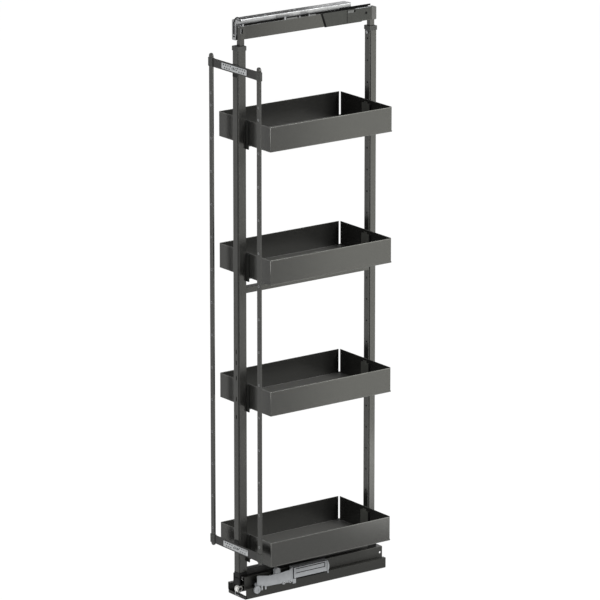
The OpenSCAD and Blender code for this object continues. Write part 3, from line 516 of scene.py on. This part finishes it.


# End plate in front of the slide, with a large opening, and the painted shade of a hole below it as a black
# oval

END_DROP = 1.0
END_CORNER = 2.0
END_Y = (-1.2, 0.0)
OPENING_LEFT = 4.5
OPENING_RIGHT = 3.5
OPENING_FOOT = 16.0
OPENING_HEAD = 6.0
OPENING_CORNER = 1.5
END_HOLE = (10.0, 4.2)
END_HOLE_SHIFT = 0.5
END_HOLE_RISE = 10.5
END_HOLE_Y = (-1.4, -1.0)


def slide_end():
    outline = rounded(SLIDE_LOW[0], SLIDE_LOW[2], SLIDE_HIGH[0], SLIDE_HIGH[2] - END_DROP, END_CORNER)
    opening = rounded(SLIDE_LOW[0] + OPENING_LEFT, SLIDE_LOW[2] + OPENING_FOOT,
                      SLIDE_HIGH[0] - OPENING_RIGHT, SLIDE_HIGH[2] - OPENING_HEAD, OPENING_CORNER)
    shape = bmesh.new()
    holed(shape, "y", outline, opening, *span(SLIDE_LOW[1], END_Y))
    made("slide_end_plate", shape, SLIDE_END, "top")
    # Painted shade: a black oval for the dark inside of a hole below the opening
    hole_x = (SLIDE_LOW[0] + SLIDE_HIGH[0]) / 2 + END_HOLE_SHIFT
    shape = bmesh.new()
    prism(shape, "y", oval(hole_x, SLIDE_LOW[2] + END_HOLE_RISE, *END_HOLE), *span(SLIDE_LOW[1], END_HOLE_Y))
    made("slide_end_hole_shade", shape, SHADOW, "top", rounding=0)


# Bright clip over the slide: a band on its top and the upper part of its sides

CLIP_Y = (-145.6, -142.4)
CLIP_DEEP = 4.0
CLIP_SIDE = 0.6
CLIP_TOP = 1.0
CLIP_PLAY = 0.02


def clip_line(side, top):
    """A line up one side of the slide, over it and down the other, at these distances from it."""
    left = SLIDE_LOW[0] - side
    right = SLIDE_HIGH[0] + side
    foot = SLIDE_HIGH[2] - CLIP_DEEP
    head = SLIDE_HIGH[2] + top
    return [(left, foot), (left, head), (right, head), (right, foot)]


def slide_clip():
    outline = clip_line(CLIP_SIDE, CLIP_TOP) + clip_line(CLIP_PLAY, CLIP_PLAY)[::-1]
    shape = bmesh.new()
    prism(shape, "y", outline, *CLIP_Y)
    made("slide_clip", shape, STEEL, "top_slide_outer")


# Flange along the far top edge of the slide, which makes its top face as wide as it looks

FLANGE_WIDTH = 11.0
FLANGE_LAP = 2.0
FLANGE_START = 30.0
FLANGE_STOP = 2.0
FLANGE_CORNER = 3.0
FLANGE_Z = (-1.6, 0.0)


def slide_flange():
    outline = rounded(SLIDE_LOW[0] - FLANGE_WIDTH, SLIDE_LOW[1] + FLANGE_START,
                      SLIDE_LOW[0] + FLANGE_LAP, SLIDE_HIGH[1] - FLANGE_STOP, FLANGE_CORNER)
    shape = bmesh.new()
    prism(shape, "z", outline, *span(SLIDE_HIGH[2], FLANGE_Z))
    made("slide_flange", shape, SLIDE, "top_slide_outer", rounding=0.3)


# Painted shade in the top rail: a black sheet inside it, and a black strip above its far wall, which steps up
# towards the rear

RAIL_LOW, RAIL_HIGH = millimetres("top_rail")
TUBE_LOW, TUBE_HIGH = millimetres("front_tube")
RAIL_WALL = 1.5
INNER_SHADE_SHEET = 1.2
INNER_SHADE_DEEP = 22.0
INNER_SHADE_DROP = 0.4
INNER_SHADE_INSET = 0.5
INNER_SHADE_CORNER = 1.0
EDGE_START = RAIL_LOW[1] + 2.0
EDGE_STEP = 118.0
EDGE_END = RAIL_HIGH[1] + 8.0
EDGE_OUT = 0.5
EDGE_GAP = 0.1
EDGE_CORNER = 0.5
EDGE_LOW_RISE = 1.2
EDGE_HIGH_RISE = 4.2


def rail_inner_shade():
    inside_x = RAIL_LOW[0] + RAIL_WALL
    inner_shade = rounded(RAIL_LOW[1] + INNER_SHADE_INSET, RAIL_HIGH[2] - INNER_SHADE_DEEP,
                     RAIL_HIGH[1] - INNER_SHADE_INSET, RAIL_HIGH[2] - INNER_SHADE_DROP, INNER_SHADE_CORNER)
    shape = bmesh.new()
    prism(shape, "x", inner_shade, inside_x, inside_x + INNER_SHADE_SHEET)
    for start, end, rise in ((EDGE_START, EDGE_STEP, EDGE_LOW_RISE), (EDGE_STEP, EDGE_END, EDGE_HIGH_RISE)):
        edge = rounded(start, RAIL_HIGH[2] + EDGE_GAP, end, RAIL_HIGH[2] + rise, EDGE_CORNER)
        prism(shape, "x", edge, RAIL_LOW[0] - EDGE_OUT, inside_x + INNER_SHADE_SHEET)
    made("rail_inner_shade", shape, SHADOW, "top")


# Cheek of the top rail over the front tube, with an upright slot, painted shade behind the slot, and a
# painted highlight along the front edge

SLOT = (5.5, 16.5)
SLOT_POINTS = 40
SLOT_Y = TUBE_LOW[1] + 4.5
SLOT_Z = RAIL_HIGH[2] - 14.0
SLOT_SPARE = 0.6
SLOT_OVER_TUBE = 0.2
SLOT_DEEP = 0.1
CHEEK_OVER_TUBE = 0.3
CHEEK_FRONT = 0.5
CHEEK_LAP = 0.2
CHEEK_HIGHLIGHT_Y = (-0.3, 1.1)
CHEEK_HIGHLIGHT_Z = (-7.0, 8.0)
CHEEK_HIGHLIGHT_X = (-0.4, 0.2)
CHEEK_HIGHLIGHT_CORNER = 0.5


def rail_cheek():
    slot = oval(SLOT_Y, SLOT_Z, *SLOT, SLOT_POINTS)
    cheek_low = (TUBE_LOW[1] - CHEEK_FRONT, RAIL_LOW[2])
    cheek_high = (RAIL_LOW[1] + CHEEK_LAP, RAIL_HIGH[2])
    cheek = framing(slot, (SLOT_Y, SLOT_Z), cheek_low, cheek_high)
    shape = bmesh.new()
    holed(shape, "x", cheek, slot, TUBE_HIGH[0] + CHEEK_OVER_TUBE, RAIL_HIGH[0])
    made("rail_cheek", shape, PAINT, "top", rounding=0.3)
    # Painted shade: a black oval on the tube behind the slot
    shadow = oval(SLOT_Y, SLOT_Z, SLOT[0] + SLOT_SPARE, SLOT[1] + SLOT_SPARE)
    shape = bmesh.new()
    prism(shape, "x", shadow, TUBE_HIGH[0] + SLOT_OVER_TUBE, RAIL_HIGH[0] - SLOT_DEEP)
    made("cheek_slot_shade", shape, SHADOW, "top", rounding=0)
    # Painted highlight: a light strip along the front edge
    front, back = span(TUBE_LOW[1], CHEEK_HIGHLIGHT_Y)
    foot, head = span(SLOT_Z, CHEEK_HIGHLIGHT_Z)
    edge = rounded(front, foot, back, head, CHEEK_HIGHLIGHT_CORNER)
    shape = bmesh.new()
    prism(shape, "x", edge, *span(RAIL_HIGH[0], CHEEK_HIGHLIGHT_X))
    made("cheek_highlight", shape, DULL, "top", rounding=0)


# Latch on the near top edge of the rail: light tabs, given by place, half width and height, and grey strips

TABS = ((-86.5, 3.2, 9.0), (-36.0, 1.8, 5.5), (-3.0, 1.8, 5.5), (TUBE_LOW[1] + 8.0, 2.4, 6.5))
TAB_CORNER = 1.2
TAB_X = (-RAIL_WALL, 0.2)
STRIPS = ((-81.0, -44.0), (-1.0, 20.0))
STRIP_RISE = 3.4
STRIP_CORNER = 0.8
STRIP_X = (-RAIL_WALL, 0.1)
LATCH_FOOT = RAIL_HIGH[2] - 1.0


def rail_latch():
    shape = bmesh.new()
    for place, half, height in TABS:
        tab = rounded(place - half, LATCH_FOOT, place + half, RAIL_HIGH[2] + height, TAB_CORNER)
        prism(shape, "x", tab, *span(RAIL_HIGH[0], TAB_X))
    made("latch_tabs", shape, DULL, "top")
    shape = bmesh.new()
    for start, end in STRIPS:
        strip = rounded(start, LATCH_FOOT, end, RAIL_HIGH[2] + STRIP_RISE, STRIP_CORNER)
        prism(shape, "x", strip, *span(RAIL_HIGH[0], STRIP_X))
    made("latch_strips", shape, TAB, "top")


# Rail cover: painted shade as black strips along its slanted front, in an upright groove and in two holes; a
# tab;
# and a painted highlight as a light strip along its top

COVER_LOW, COVER_HIGH = millimetres("rail_cover")
SLANT = 14.0
SLANT_WIDTH = 5.0
SLANT_X = (0.0, 0.35)
GROOVE_Y = COVER_HIGH[1] - 88.0
GROOVE_WIDTH = 2.0
GROOVE_FOOT = RAIL_LOW[2] + 1.0
GROOVE_HEAD = COVER_HIGH[2] - 0.2
GROOVE_CORNER = 0.5
GROOVE_X = (-0.6, 0.1)
REAR_HOLE_Y = COVER_HIGH[1] - 20.0
REAR_HOLE_Z = RAIL_LOW[2] + 22.0
REAR_HOLE = (8.0, 8.0)
REAR_HOLE_X = (0.0, 0.6)
TAB_HOLE_Y = GROOVE_Y + 28.0
TAB_HOLE_Z = RAIL_HIGH[2] - 5.0
TAB_HOLE = (5.5, 6.5)
TAB_HOLE_X = (-0.4, 0.2)
COVER_TAB_Y = (3.0, 24.0)
COVER_TAB_Z = (-9.0, -2.0)
COVER_TAB_CORNER = 1.5
COVER_TAB_OUT = 0.8
TOP_HIGHLIGHT_START = 30.0
TOP_HIGHLIGHT_STOP = 3.0
TOP_HIGHLIGHT_Z = (-0.8, 0.6)
TOP_HIGHLIGHT_X = (-1.4, 0.1)
TOP_HIGHLIGHT_CORNER = 0.5


def rail_cover_details():
    front = COVER_LOW[1]
    slanted = [(front, COVER_HIGH[2]), (front + SLANT_WIDTH, COVER_HIGH[2]),
               (front + SLANT + SLANT_WIDTH, COVER_LOW[2]), (front + SLANT, COVER_LOW[2])]
    groove = rounded(GROOVE_Y, GROOVE_FOOT, GROOVE_Y + GROOVE_WIDTH, GROOVE_HEAD, GROOVE_CORNER)
    # Painted shade: black strips along the slanted front, in the groove and in the two holes
    shape = bmesh.new()
    prism(shape, "x", slanted, *span(COVER_HIGH[0], SLANT_X))
    prism(shape, "x", groove, *span(COVER_HIGH[0], GROOVE_X))
    prism(shape, "x", oval(REAR_HOLE_Y, REAR_HOLE_Z, *REAR_HOLE), *span(RAIL_HIGH[0], REAR_HOLE_X))
    prism(shape, "x", oval(TAB_HOLE_Y, TAB_HOLE_Z, *TAB_HOLE), *span(COVER_HIGH[0], TAB_HOLE_X))
    made("cover_shadow_lines", shape, SHADOW, "top", rounding=0)
    start, end = span(GROOVE_Y, COVER_TAB_Y)
    foot, head = span(RAIL_HIGH[2], COVER_TAB_Z)
    tab = rounded(start, foot, end, head, COVER_TAB_CORNER)
    shape = bmesh.new()
    prism(shape, "x", tab, RAIL_HIGH[0], COVER_HIGH[0] + COVER_TAB_OUT)
    made("cover_tab", shape, TAB, "top", rounding=0)
    # Painted highlight: a light grey strip along the cover's top edge
    foot, head = span(COVER_HIGH[2], TOP_HIGHLIGHT_Z)
    top_highlight = rounded(GROOVE_Y + TOP_HIGHLIGHT_START, foot, COVER_HIGH[1] - TOP_HIGHLIGHT_STOP, head, TOP_HIGHLIGHT_CORNER)
    shape = bmesh.new()
    prism(shape, "x", top_highlight, *span(COVER_HIGH[0], TOP_HIGHLIGHT_X))
    made("cover_top_highlight", shape, GREY, "top")


# Soft-close unit: painted shade as black strips in two grooves along its cover and in an upright one beside
# the end cap, and a painted shadow as a black strip below it

PANEL_LOW, PANEL_HIGH = millimetres("damper_cover")
LINE_SHARES = (0.43, 0.84)
LINE_INSET = 6.0
LINE_WIDTH = 2.2
LINE_CORNER = 0.9
LINE_X = (-0.8, 0.1)
UPRIGHT_WIDTH = 2.4
UPRIGHT_DROP = 3.0
UNDER_SHADE_START = 14.0
UNDER_SHADE_STOP = 8.0
UNDER_SHADE_FOOT = 1.0
UNDER_SHADE_LAP = 0.6
UNDER_SHADE_CORNER = 0.8
UNDER_SHADE_GAP = 0.1
UNDER_SHADE_BACK = 0.6


def damper_details():
    panel_height = PANEL_HIGH[2] - PANEL_LOW[2]
    line_start = PANEL_LOW[1] + LINE_INSET
    line_end = PANEL_HIGH[1] - LINE_INSET
    line_feet = [PANEL_LOW[2] + share * panel_height for share in LINE_SHARES]
    lines = [rounded(line_start, foot, line_end, foot + LINE_WIDTH, LINE_CORNER) for foot in line_feet]
    upright_head = PANEL_HIGH[2] - UPRIGHT_DROP
    upright = rounded(line_end - UPRIGHT_WIDTH, line_feet[0], line_end, upright_head, LINE_CORNER)
    # Painted shade: black strips in the grooves
    shape = bmesh.new()
    for line in lines + [upright]:
        prism(shape, "x", line, *span(PANEL_HIGH[0], LINE_X))
    made("damper_groove_shade", shape, SHADOW, "base", rounding=0)
    wall_x, _, wall_top = millimetres("base_channel")[1]
    # Painted shadow: a black strip on the base's wall below the unit
    under_shade = rounded(PANEL_LOW[1] + UNDER_SHADE_START, wall_top - UNDER_SHADE_FOOT,
                    PANEL_HIGH[1] - UNDER_SHADE_STOP, PANEL_LOW[2] + UNDER_SHADE_LAP, UNDER_SHADE_CORNER)
    shape = bmesh.new()
    prism(shape, "x", under_shade, wall_x + UNDER_SHADE_GAP, PANEL_HIGH[0] - UNDER_SHADE_BACK)
    made("damper_under_shade", shape, SHADOW, "base", rounding=0)


# Folded lip across the base's front edge, open at the roller

FOLD_Z = (0.4, 9.0)
FOLD_Y = (-0.3, 0.9)
FOLD_INSET = 2.5
FOLD_CORNER = 1.0
ROLLER_SPACE = 2.0


def base_front_lip():
    base_low, base_high = millimetres("base_channel")
    roller_half = ROLLER_SPACE - millimetres("roller_bracket")[0][0]
    foot, head = span(base_low[2], FOLD_Z)
    shape = bmesh.new()
    for side in (-1, 1):
        start, end = sorted((side * roller_half, side * (base_high[0] - FOLD_INSET)))
        prism(shape, "y", rounded(start, foot, end, head, FOLD_CORNER), *span(base_low[1], FOLD_Y))
    made("base_front_lip", shape, PAINT_BASE, "base", rounding=0.3)


# Painted shade of the screws' cross recesses, as black crosses on heads that face the low or the high end of
# an axis

RECESS = (4.6, 1.3)
FACING_LOW = (-0.15, 0.2)
FACING_HIGH = (-0.2, 0.15)
LOCK_HEAD_OUT = 2.5
CARRIER_SCREW_X = (-6.5, 6.5)
CARRIER_SCREW_Z = 4.5
DAMPER_SCREW_Y = 4.0


def screw_recess_shades():
    low, high = millimetres("lock_screws")
    lock = cross(0.0, (low[2] + high[2]) / 2, *RECESS)
    rear_head = millimetres("rear_post")[0][1] - LOCK_HEAD_OUT
    front_head = millimetres("front_post")[1][1] + LOCK_HEAD_OUT
    shape = bmesh.new()
    prism(shape, "y", lock, *span(rear_head, FACING_LOW))
    prism(shape, "y", lock, *span(front_head, FACING_HIGH))
    made("lock_screw_recess_shades", shape, BLACK, "frame", rounding=0)
    low, high = millimetres("carrier_screws")
    shape = bmesh.new()
    for x in CARRIER_SCREW_X:
        for z in (low[2] + CARRIER_SCREW_Z, high[2] - CARRIER_SCREW_Z):
            prism(shape, "y", cross(x, z, *RECESS), *span(low[1], FACING_LOW))
    made("carrier_screw_recess_shades", shape, BLACK, "frame", rounding=0)
    low, high = millimetres("damper_screws")
    shape = bmesh.new()
    for y in (low[1] + DAMPER_SCREW_Y, high[1] - DAMPER_SCREW_Y):
        prism(shape, "x", cross(y, (low[2] + high[2]) / 2, *RECESS), *span(high[0], FACING_HIGH))
    made("damper_screw_recess_shades", shape, BLACK, "base", rounding=0)


# Light rims round the door screw holes of both bars: a row with one pitch, and one more hole near the top

HOLE_RIM = (7.0, 4.3)
RIM_POINTS = 20
RIM_Y = (-0.25, 1.0)
FIRST_HOLE = 53.0
HOLE_PITCH = 96.0
HOLE_COUNT = 14
LAST_HOLE = 115.0


def door_hole_rims():
    shape = bmesh.new()
    for node in ("left_bar", "right_bar"):
        low, high = millimetres(node)
        middle = (low[0] + high[0]) / 2
        heights = [low[2] + FIRST_HOLE + HOLE_PITCH * k for k in range(HOLE_COUNT)] + [high[2] - LAST_HOLE]
        for z in heights:
            outer, inner = (oval(middle, z, size, size, RIM_POINTS) for size in HOLE_RIM)
            holed(shape, "y", outer, inner, *span(low[1], RIM_Y))
    made("door_hole_rims", shape, RIM, "door_carrier", rounding=0)


# Hook plates inside the baskets' rear walls, each with a tongue on top, and painted shade on its end as a
# black block

HOOK_X = (-15.5, 20.0)
HOOK_FOOT = 3.0
HOOK_HEAD = 12.0
HOOK_CORNER = 1.5
HOOK_DEEP = 3.3
TONGUE_INSET = 10.0
TONGUE_Z = (-1.5, 5.0)
TONGUE_BACK = 0.8
HOOK_END_SHADE_X = (-0.2, 4.0)
HOOK_END_SHADE_INSET = 1.0
HOOK_END_SHADE_CORNER = 1.0
HOOK_END_SHADE_BACK = 0.6


def hook_plate(node, body):
    low, high = millimetres(node)
    wall_y = high[1] - SHEET / MM
    front_y = wall_y - HOOK_DEEP
    left, right = HOOK_X
    foot = low[2] + HOOK_FOOT
    head = high[2] - HOOK_HEAD
    tongue_foot, tongue_head = span(head, TONGUE_Z)
    tongue = rounded(left + TONGUE_INSET, tongue_foot, right - TONGUE_INSET, tongue_head, HOOK_CORNER)
    shape = bmesh.new()
    prism(shape, "y", rounded(left, foot, right, head, HOOK_CORNER), front_y, wall_y)
    prism(shape, "y", tongue, front_y + TONGUE_BACK, wall_y)
    made(node + "_hook_plate", shape, HOOK, body, rounding=0.4)
    # Painted shade: a black block at the plate's end
    start, end = span(right, HOOK_END_SHADE_X)
    hook_end_shade = rounded(start, foot + HOOK_END_SHADE_INSET, end, head - HOOK_END_SHADE_INSET, HOOK_END_SHADE_CORNER)
    shape = bmesh.new()
    prism(shape, "y", hook_end_shade, front_y + HOOK_END_SHADE_BACK, wall_y)
    made(node + "_hook_end_shade", shape, BLACK, body, rounding=0.3)


# Painted shade inside the rear post: a black sheet just behind the front wall, seen through its row of holes

POST_INNER_SHADE_HALF = 5.0
POST_INNER_SHADE_FOOT = 20.0
POST_INNER_SHADE_HEAD = 40.0
POST_INNER_SHADE_CORNER = 1.0
POST_INNER_SHADE_Y = (1.8, 2.3)


def rear_post_inner_shade():
    low, high = millimetres("rear_post")
    outline = rounded(-POST_INNER_SHADE_HALF, low[2] + POST_INNER_SHADE_FOOT,
                      POST_INNER_SHADE_HALF, high[2] - POST_INNER_SHADE_HEAD, POST_INNER_SHADE_CORNER)
    shape = bmesh.new()
    prism(shape, "y", outline, *span(low[1], POST_INNER_SHADE_Y))
    made("rear_post_inner_shade", shape, SHADOW, "frame", rounding=0)


slide_nose()
slide_end()
slide_clip()
slide_flange()
rail_inner_shade()
rail_cheek()
rail_latch()
rail_cover_details()
damper_details()
base_front_lip()
screw_recess_shades()
door_hole_rims()
for node, body in BASKETS.items():
    hook_plate(node, body)
rear_post_inner_shade()


# Camera, solved from the corners of the baskets in the photograph

CAMERA_PLACE = Vector((11.5891, -8.5180, 4.7866))
AZIMUTH = math.radians(53.77)
ELEVATION = math.radians(15.34)
LENS = 313.45
SENSOR_WIDTH = 36.0
CLIP_END = 100.0


def place_camera():
    data = bpy.data.cameras.new("camera")
    data.sensor_fit = "HORIZONTAL"
    data.sensor_width = SENSOR_WIDTH
    data.lens = LENS
    data.clip_end = CLIP_END
    level = math.cos(ELEVATION)
    right = Vector((math.cos(AZIMUTH), math.sin(AZIMUTH), 0.0))
    back = Vector((math.sin(AZIMUTH) * level, -math.cos(AZIMUTH) * level, math.sin(ELEVATION)))
    turn = Matrix((right, back.cross(right), back)).transposed().to_4x4()
    camera = bpy.data.objects.new("camera", data)
    camera.matrix_world = Matrix.Translation(CAMERA_PLACE) @ turn
    scene.collection.objects.link(camera)
    scene.camera = camera


place_camera()


# Floor and background: white to the camera and in reflections, with the object's soft shadow

WHITE = (1.0, 1.0, 1.0, 1.0)
FLOOR_GREY = (0.9, 0.9, 0.9, 1.0)
FLOOR_HALF = 40.0
FLOOR_GAP = 0.0002

# How much of the floor that is seen glows, how bright the glow is, and the light that the sky sheds
GLOW_SHARE = 0.97
GLOW_STRENGTH = 1.03
AMBIENT = 0.1


def seen_rays(tree):
    """1 for rays from the camera, from reflections and through clear things, else 0."""
    path = tree.nodes.new("ShaderNodeLightPath")
    total = path.outputs["Is Camera Ray"]
    for kind in ("Is Glossy Ray", "Is Transmission Ray"):
        either = tree.nodes.new("ShaderNodeMath")
        either.operation = "MAXIMUM"
        tree.links.new(total, either.inputs[0])
        tree.links.new(path.outputs[kind], either.inputs[1])
        total = either.outputs[0]
    return total


def for_seen_rays(tree, otherwise, seen):
    """One number for the rays that are seen, and another for all the rest."""
    choice = tree.nodes.new("ShaderNodeMapRange")
    choice.inputs["To Min"].default_value = otherwise
    choice.inputs["To Max"].default_value = seen
    tree.links.new(seen_rays(tree), choice.inputs["Value"])
    return choice.outputs["Result"]


def white_floor():
    """A floor that glows white where it is seen, and is plain matt for the light that it throws back."""
    material = bpy.data.materials.new("floor")
    material.use_nodes = True
    tree = material.node_tree
    tree.nodes.clear()
    diffuse = tree.nodes.new("ShaderNodeBsdfDiffuse")
    diffuse.inputs["Color"].default_value = FLOOR_GREY
    glow = tree.nodes.new("ShaderNodeEmission")
    glow.inputs["Color"].default_value = WHITE
    glow.inputs["Strength"].default_value = GLOW_STRENGTH
    mix = tree.nodes.new("ShaderNodeMixShader")
    tree.links.new(for_seen_rays(tree, 0.0, GLOW_SHARE), mix.inputs["Fac"])
    tree.links.new(diffuse.outputs[0], mix.inputs[1])
    tree.links.new(glow.outputs[0], mix.inputs[2])
    output = tree.nodes.new("ShaderNodeOutputMaterial")
    tree.links.new(mix.outputs[0], output.inputs["Surface"])
    return material


def white_sky():
    """A background that is white where it is seen, and sheds little light."""
    scene.world = bpy.data.worlds.new("studio")
    scene.world.use_nodes = True
    tree = scene.world.node_tree
    tree.nodes.clear()
    background = tree.nodes.new("ShaderNodeBackground")
    background.inputs["Color"].default_value = WHITE
    tree.links.new(for_seen_rays(tree, AMBIENT, 1.0), background.inputs["Strength"])
    output = tree.nodes.new("ShaderNodeOutputWorld")
    tree.links.new(background.outputs[0], output.inputs["Surface"])


def flat_sheet(name, half_x, half_y, look):
    """A flat rectangle that stands on the set and isn't part of the object."""
    corners = [(half_x * x, half_y * y, 0.0) for x, y in ((-1, -1), (1, -1), (1, 1), (-1, 1))]
    mesh = bpy.data.meshes.new(name)
    mesh.from_pydata(corners, [], [(0, 1, 2, 3)])
    mesh.materials.append(look)
    sheet = bpy.data.objects.new(name, mesh)
    scene.collection.objects.link(sheet)
    return sheet


floor = flat_sheet("floor", FLOOR_HALF, FLOOR_HALF, white_floor())
floor.location.z = CAD_BOX[0][2] - FLOOR_GAP
white_sky()


# Lamps, and a dark card behind the top that is seen only in reflections, as on a photographer's set

PLAIN = (1.0, 1.0, 1.0)
WARM = (1.0, 1.0, 0.93)
FLAG_HALF = (0.25, 0.3)
FLAG_PLACE = (-0.81, 0.30, 2.0)
FLAG_TARGET = (0.0, -0.25, 1.69)


def facing(place, target, axis):
    """The turn that points an axis of an object at a target."""
    return (Vector(target) - Vector(place)).to_track_quat(axis, "Y").to_euler()


def softbox(name, place, target, size, power, tint=PLAIN):
    """A rectangular lamp that the camera doesn't see."""
    data = bpy.data.lights.new(name, "AREA")
    data.shape = "RECTANGLE"
    data.size, data.size_y = size
    data.energy = power
    data.color = tint
    lamp = bpy.data.objects.new(name, data)
    lamp.location = place
    lamp.rotation_euler = facing(place, target, "-Z")
    lamp.visible_camera = False
    scene.collection.objects.link(lamp)


softbox("rear_strip", place=(0.75, 0.68, 1.05), target=(0.1, 0.2, 1.0), size=(0.5, 2.0), power=4.5, tint=WARM)
softbox("low_strip", place=(0.48, 0.50, 0.12), target=(0.12, 0.2, 0.15), size=(0.3, 0.22), power=0.5)
softbox("rear_key", place=(6.0, 2.0, 4.6), target=(0, 0, 0.7), size=(2.5, 2.5), power=750)
softbox("front_box", place=(0.6, -3.2, 1.4), target=(0, 0, 0.85), size=(2.0, 2.4), power=75)

flag = flat_sheet("flag", *FLAG_HALF, plastic("flag_cloth", colour(20, 20, 20), rough=0.8, shine=0.1))
flag.location = FLAG_PLACE
flag.rotation_euler = facing(FLAG_PLACE, FLAG_TARGET, "Z")
for sight in ("visible_camera", "visible_diffuse", "visible_shadow", "visible_transmission"):
    setattr(flag, sight, False)

scene.view_settings.view_transform = "Standard"
